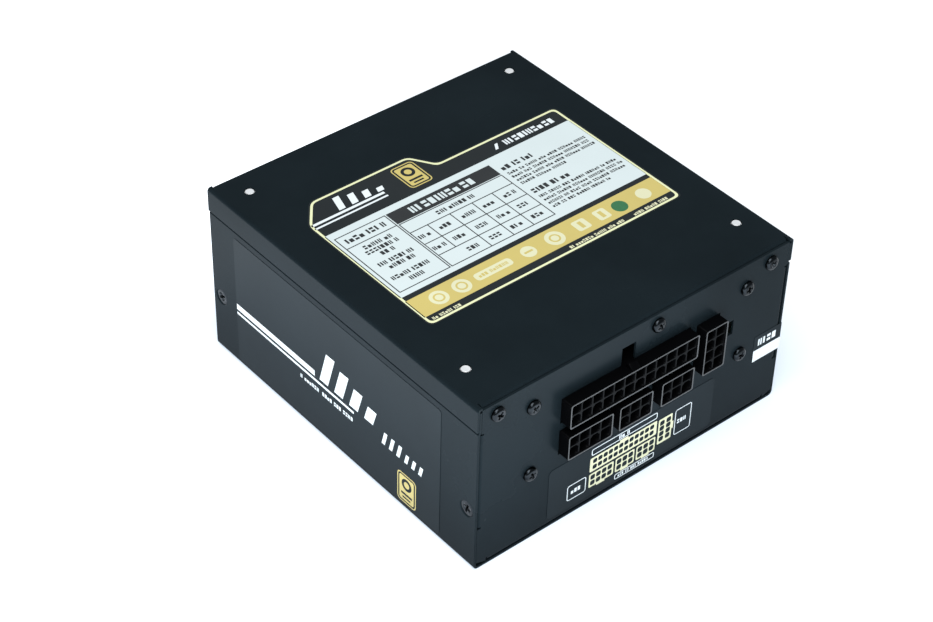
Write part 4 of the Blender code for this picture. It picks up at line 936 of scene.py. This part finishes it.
def finished_nodes():
    """The CAD solids that keep their shape: node, look and width of the rounded edges."""
    for node, look, width in (
            ("base_tray", "paint", 0.10), ("fan_cover", "paint", 0.10),
            ("connector_panel", "paint", 0.10), ("mains_inlet", "plain", 0.25),
            ("switch_frame", "plain", 0.25), ("rocker", "plain", 0.30),
            ("fan_frame", "fan", 0.25), ("fan_stator", "alloy", 0.12),
            ("fan_bearing", "bronze", 0.1), ("fan_shaft", "zinc", 0.1),
            ("inlet_pin_line", "brass", 0.2), ("inlet_pin_neutral", "brass", 0.2),
            ("inlet_pin_earth", "brass", 0.2), ("main_board", "board", 0.08),
            ("socket_board", "board", 0.08), ("converter_board", "board", 0.15),
            ("board_bracket_left", "zinc", 0.12), ("board_bracket_right", "zinc", 0.12),
            ("insulating_film", "clear", 0.05), ("bulk_capacitor", "sleeve", 0.2),
            ("pfc_choke", "copper", 0.2), ("mains_filter_choke", "copper", 0.2),
            ("primary_heat_sink", "alloy", 0.12), ("secondary_heat_sink", "alloy", 0.12),
            ("bridge_rectifier", "epoxy", 0.2), ("main_transformer", "ferrite", 0.25),
            ("standby_transformer", "ferrite", 0.2), ("mains_filter_capacitor", "tape", 0.3),
            ("fan_lead", "lead", 0.0)):
        refine(node, look, width)
    for node in sorted(frame["nodes"]):
        if node.startswith("standoff_"):
            refine(node, "rivet", 0.12)


# --------------------------------------------------------------------- stage
SENSOR, FOCAL = 36.0, 89.178907   # camera, in millimetres
TURN, RISE, ROLL = -40.817, 40.011, 1.585
SHIFT_RIGHT, SHIFT_UP, DISTANCE = -8.927, -5.782, 726.54
FOOT_X, FOOT_Y = 0.0625, 0.067    # half of the unit's footprint, in metres
# glow of the floor: to the left, to the right, close in, behind the unit, and at least
FLOOR_LEFT, FLOOR_RIGHT, FLOOR_NEAR, FLOOR_BACK, FLOOR_LEAST = 2.9, 0.62, 0.20, 0.45, 0.62
WORLD = 0.40
#          name   place, in metres     aim              size        watts colour
LIGHTS = (("key", (-0.55, -0.35, 1.5), (0.0, 0.0, 0.0), (1.0, 1.0), 23.0, (1.0, 1.0, 1.0)),
          ("left_front", (-0.34, -0.42, 0.42), (-0.02, -0.05, 0.04), (0.22, 0.22), 0.8,
           (0.92, 0.97, 1.0)))


def look_at_unit():
    """Camera at the photo's viewing angle; distances in millimetres."""
    azimuth, elevation, roll = (math.radians(angle) for angle in (TURN, RISE, ROLL))
    back = Vector((math.sin(azimuth) * math.cos(elevation),
                   -math.cos(azimuth) * math.cos(elevation), math.sin(elevation)))
    right = Vector((0, 0, 1)).cross(back).normalized()
    up = back.cross(right)
    turned_right = math.cos(roll) * right + math.sin(roll) * up
    turned_up = -math.sin(roll) * right + math.cos(roll) * up
    place = (Vector((0, 0, CASE_H / 2)) + SHIFT_RIGHT * turned_right + SHIFT_UP * turned_up
             + DISTANCE * back)
    data = bpy.data.cameras.new("camera")
    data.sensor_width = SENSOR
    data.lens = FOCAL
    data.clip_start, data.clip_end = 0.05, 20.0
    camera = bpy.data.objects.new("camera", data)
    rotation = Matrix((turned_right, turned_up, back)).transposed().to_4x4()
    camera.matrix_world = Matrix.Translation(place * MM) @ rotation
    bpy.context.collection.objects.link(camera)
    bpy.context.scene.camera = camera


def light(name, place, aim, size, watts, colour=(1, 1, 1)):
    data = bpy.data.lights.new(name, "AREA")
    data.shape = "RECTANGLE"
    data.size, data.size_y = size
    data.energy = watts
    data.color = colour
    item = bpy.data.objects.new(name, data)
    item.location = place
    item.rotation_euler = (Vector(aim) - Vector(place)).to_track_quat("-Z", "Y").to_euler()
    bpy.context.collection.objects.link(item)


def math_node(tree, kind, a, b=None):
    node = tree.nodes.new("ShaderNodeMath")
    node.operation = kind
    for entry, value in zip(node.inputs, (a, b)):
        if isinstance(value, (int, float)):
            entry.default_value = value
        elif value is not None:
            tree.links.new(value, entry)
    return node.outputs[0]


def remap(tree, value, low, high, start, end):
    node = tree.nodes.new("ShaderNodeMapRange")
    node.interpolation_type = "SMOOTHSTEP"
    for key, number in zip(("From Min", "From Max", "To Min", "To Max"), (low, high, start, end)):
        node.inputs[key].default_value = number
    tree.links.new(value, node.inputs["Value"])
    return node.outputs["Result"]


def floor_material():
    """Pale sweep, lit from below like a light table: brighter to the left, softer close in."""
    made, tree, shader = new_material("pale_floor", (0.5, 0.5, 0.5), 0.9)
    slow = texture(tree, "ShaderNodeTexNoise", 3.0, Detail=2.0)
    tint(tree, slow.outputs["Fac"], (0.49, 0.50, 0.51), (0.51, 0.52, 0.53), shader)
    place = tree.nodes.new("ShaderNodeTexCoord")
    split = tree.nodes.new("ShaderNodeSeparateXYZ")
    tree.links.new(place.outputs["Object"], split.inputs["Vector"])
    gaps = []
    for axis, half in (("X", FOOT_X), ("Y", FOOT_Y)):
        away = math_node(tree, "SUBTRACT", math_node(tree, "ABSOLUTE", split.outputs[axis]), half)
        gaps.append(math_node(tree, "POWER", math_node(tree, "MAXIMUM", away, 0.0), 2.0))
    gap = math_node(tree, "SQRT", math_node(tree, "ADD", *gaps))
    across = remap(tree, split.outputs["X"], 0.02, 0.10, FLOOR_LEFT, FLOOR_RIGHT)
    behind = remap(tree, split.outputs["Y"], 0.06, 0.14, 1.0, FLOOR_BACK)
    close = remap(tree, gap, 0.0, 0.07, FLOOR_NEAR, 1.0)
    shaped = math_node(tree, "MULTIPLY", math_node(tree, "MULTIPLY", across, close), behind)
    glow = math_node(tree, "MAXIMUM", shaped, FLOOR_LEAST)
    cast = tree.nodes.new("ShaderNodeValToRGB")
    cast.color_ramp.elements[0].color = (0.80, 0.96, 1.16, 1)
    cast.color_ramp.elements[1].color = (0.93, 0.99, 1.05, 1)
    tree.links.new(close, cast.inputs["Fac"])
    tree.links.new(cast.outputs["Color"], shader.inputs["Emission Color"])
    tree.links.new(glow, shader.inputs["Emission Strength"])
    return made


def studio():
    """Floor, world and lights."""
    bm = bmesh.new()
    fill(bm, [bar(-4.0, 4.0, -4.0, 4.0)], lambda u, v: Vector((u, v, -0.0002)))
    mesh = bpy.data.meshes.new("studio_floor")
    bm.to_mesh(mesh)
    bm.free()
    floor = bpy.data.objects.new("studio_floor", mesh)
    floor.data.materials.append(floor_material())
    bpy.context.collection.objects.link(floor)
    world = bpy.data.worlds.new("studio")
    bpy.context.scene.world = world
    world.use_nodes = True
    world.node_tree.nodes["Background"].inputs["Color"].default_value = (0.88, 0.95, 1.0, 1)
    world.node_tree.nodes["Background"].inputs["Strength"].default_value = WORLD
    for entry in LIGHTS:
        light(*entry)
    bpy.context.scene.view_settings.view_transform = "Standard"


look_at_unit()
studio()
finished_nodes()
for entry in SOCKETS:
    socket(*entry)
screws()
rating_label()
side_decal()
socket_chart()
seal()
wire_guard()
rotor()
stator_coils()
switch_marks()
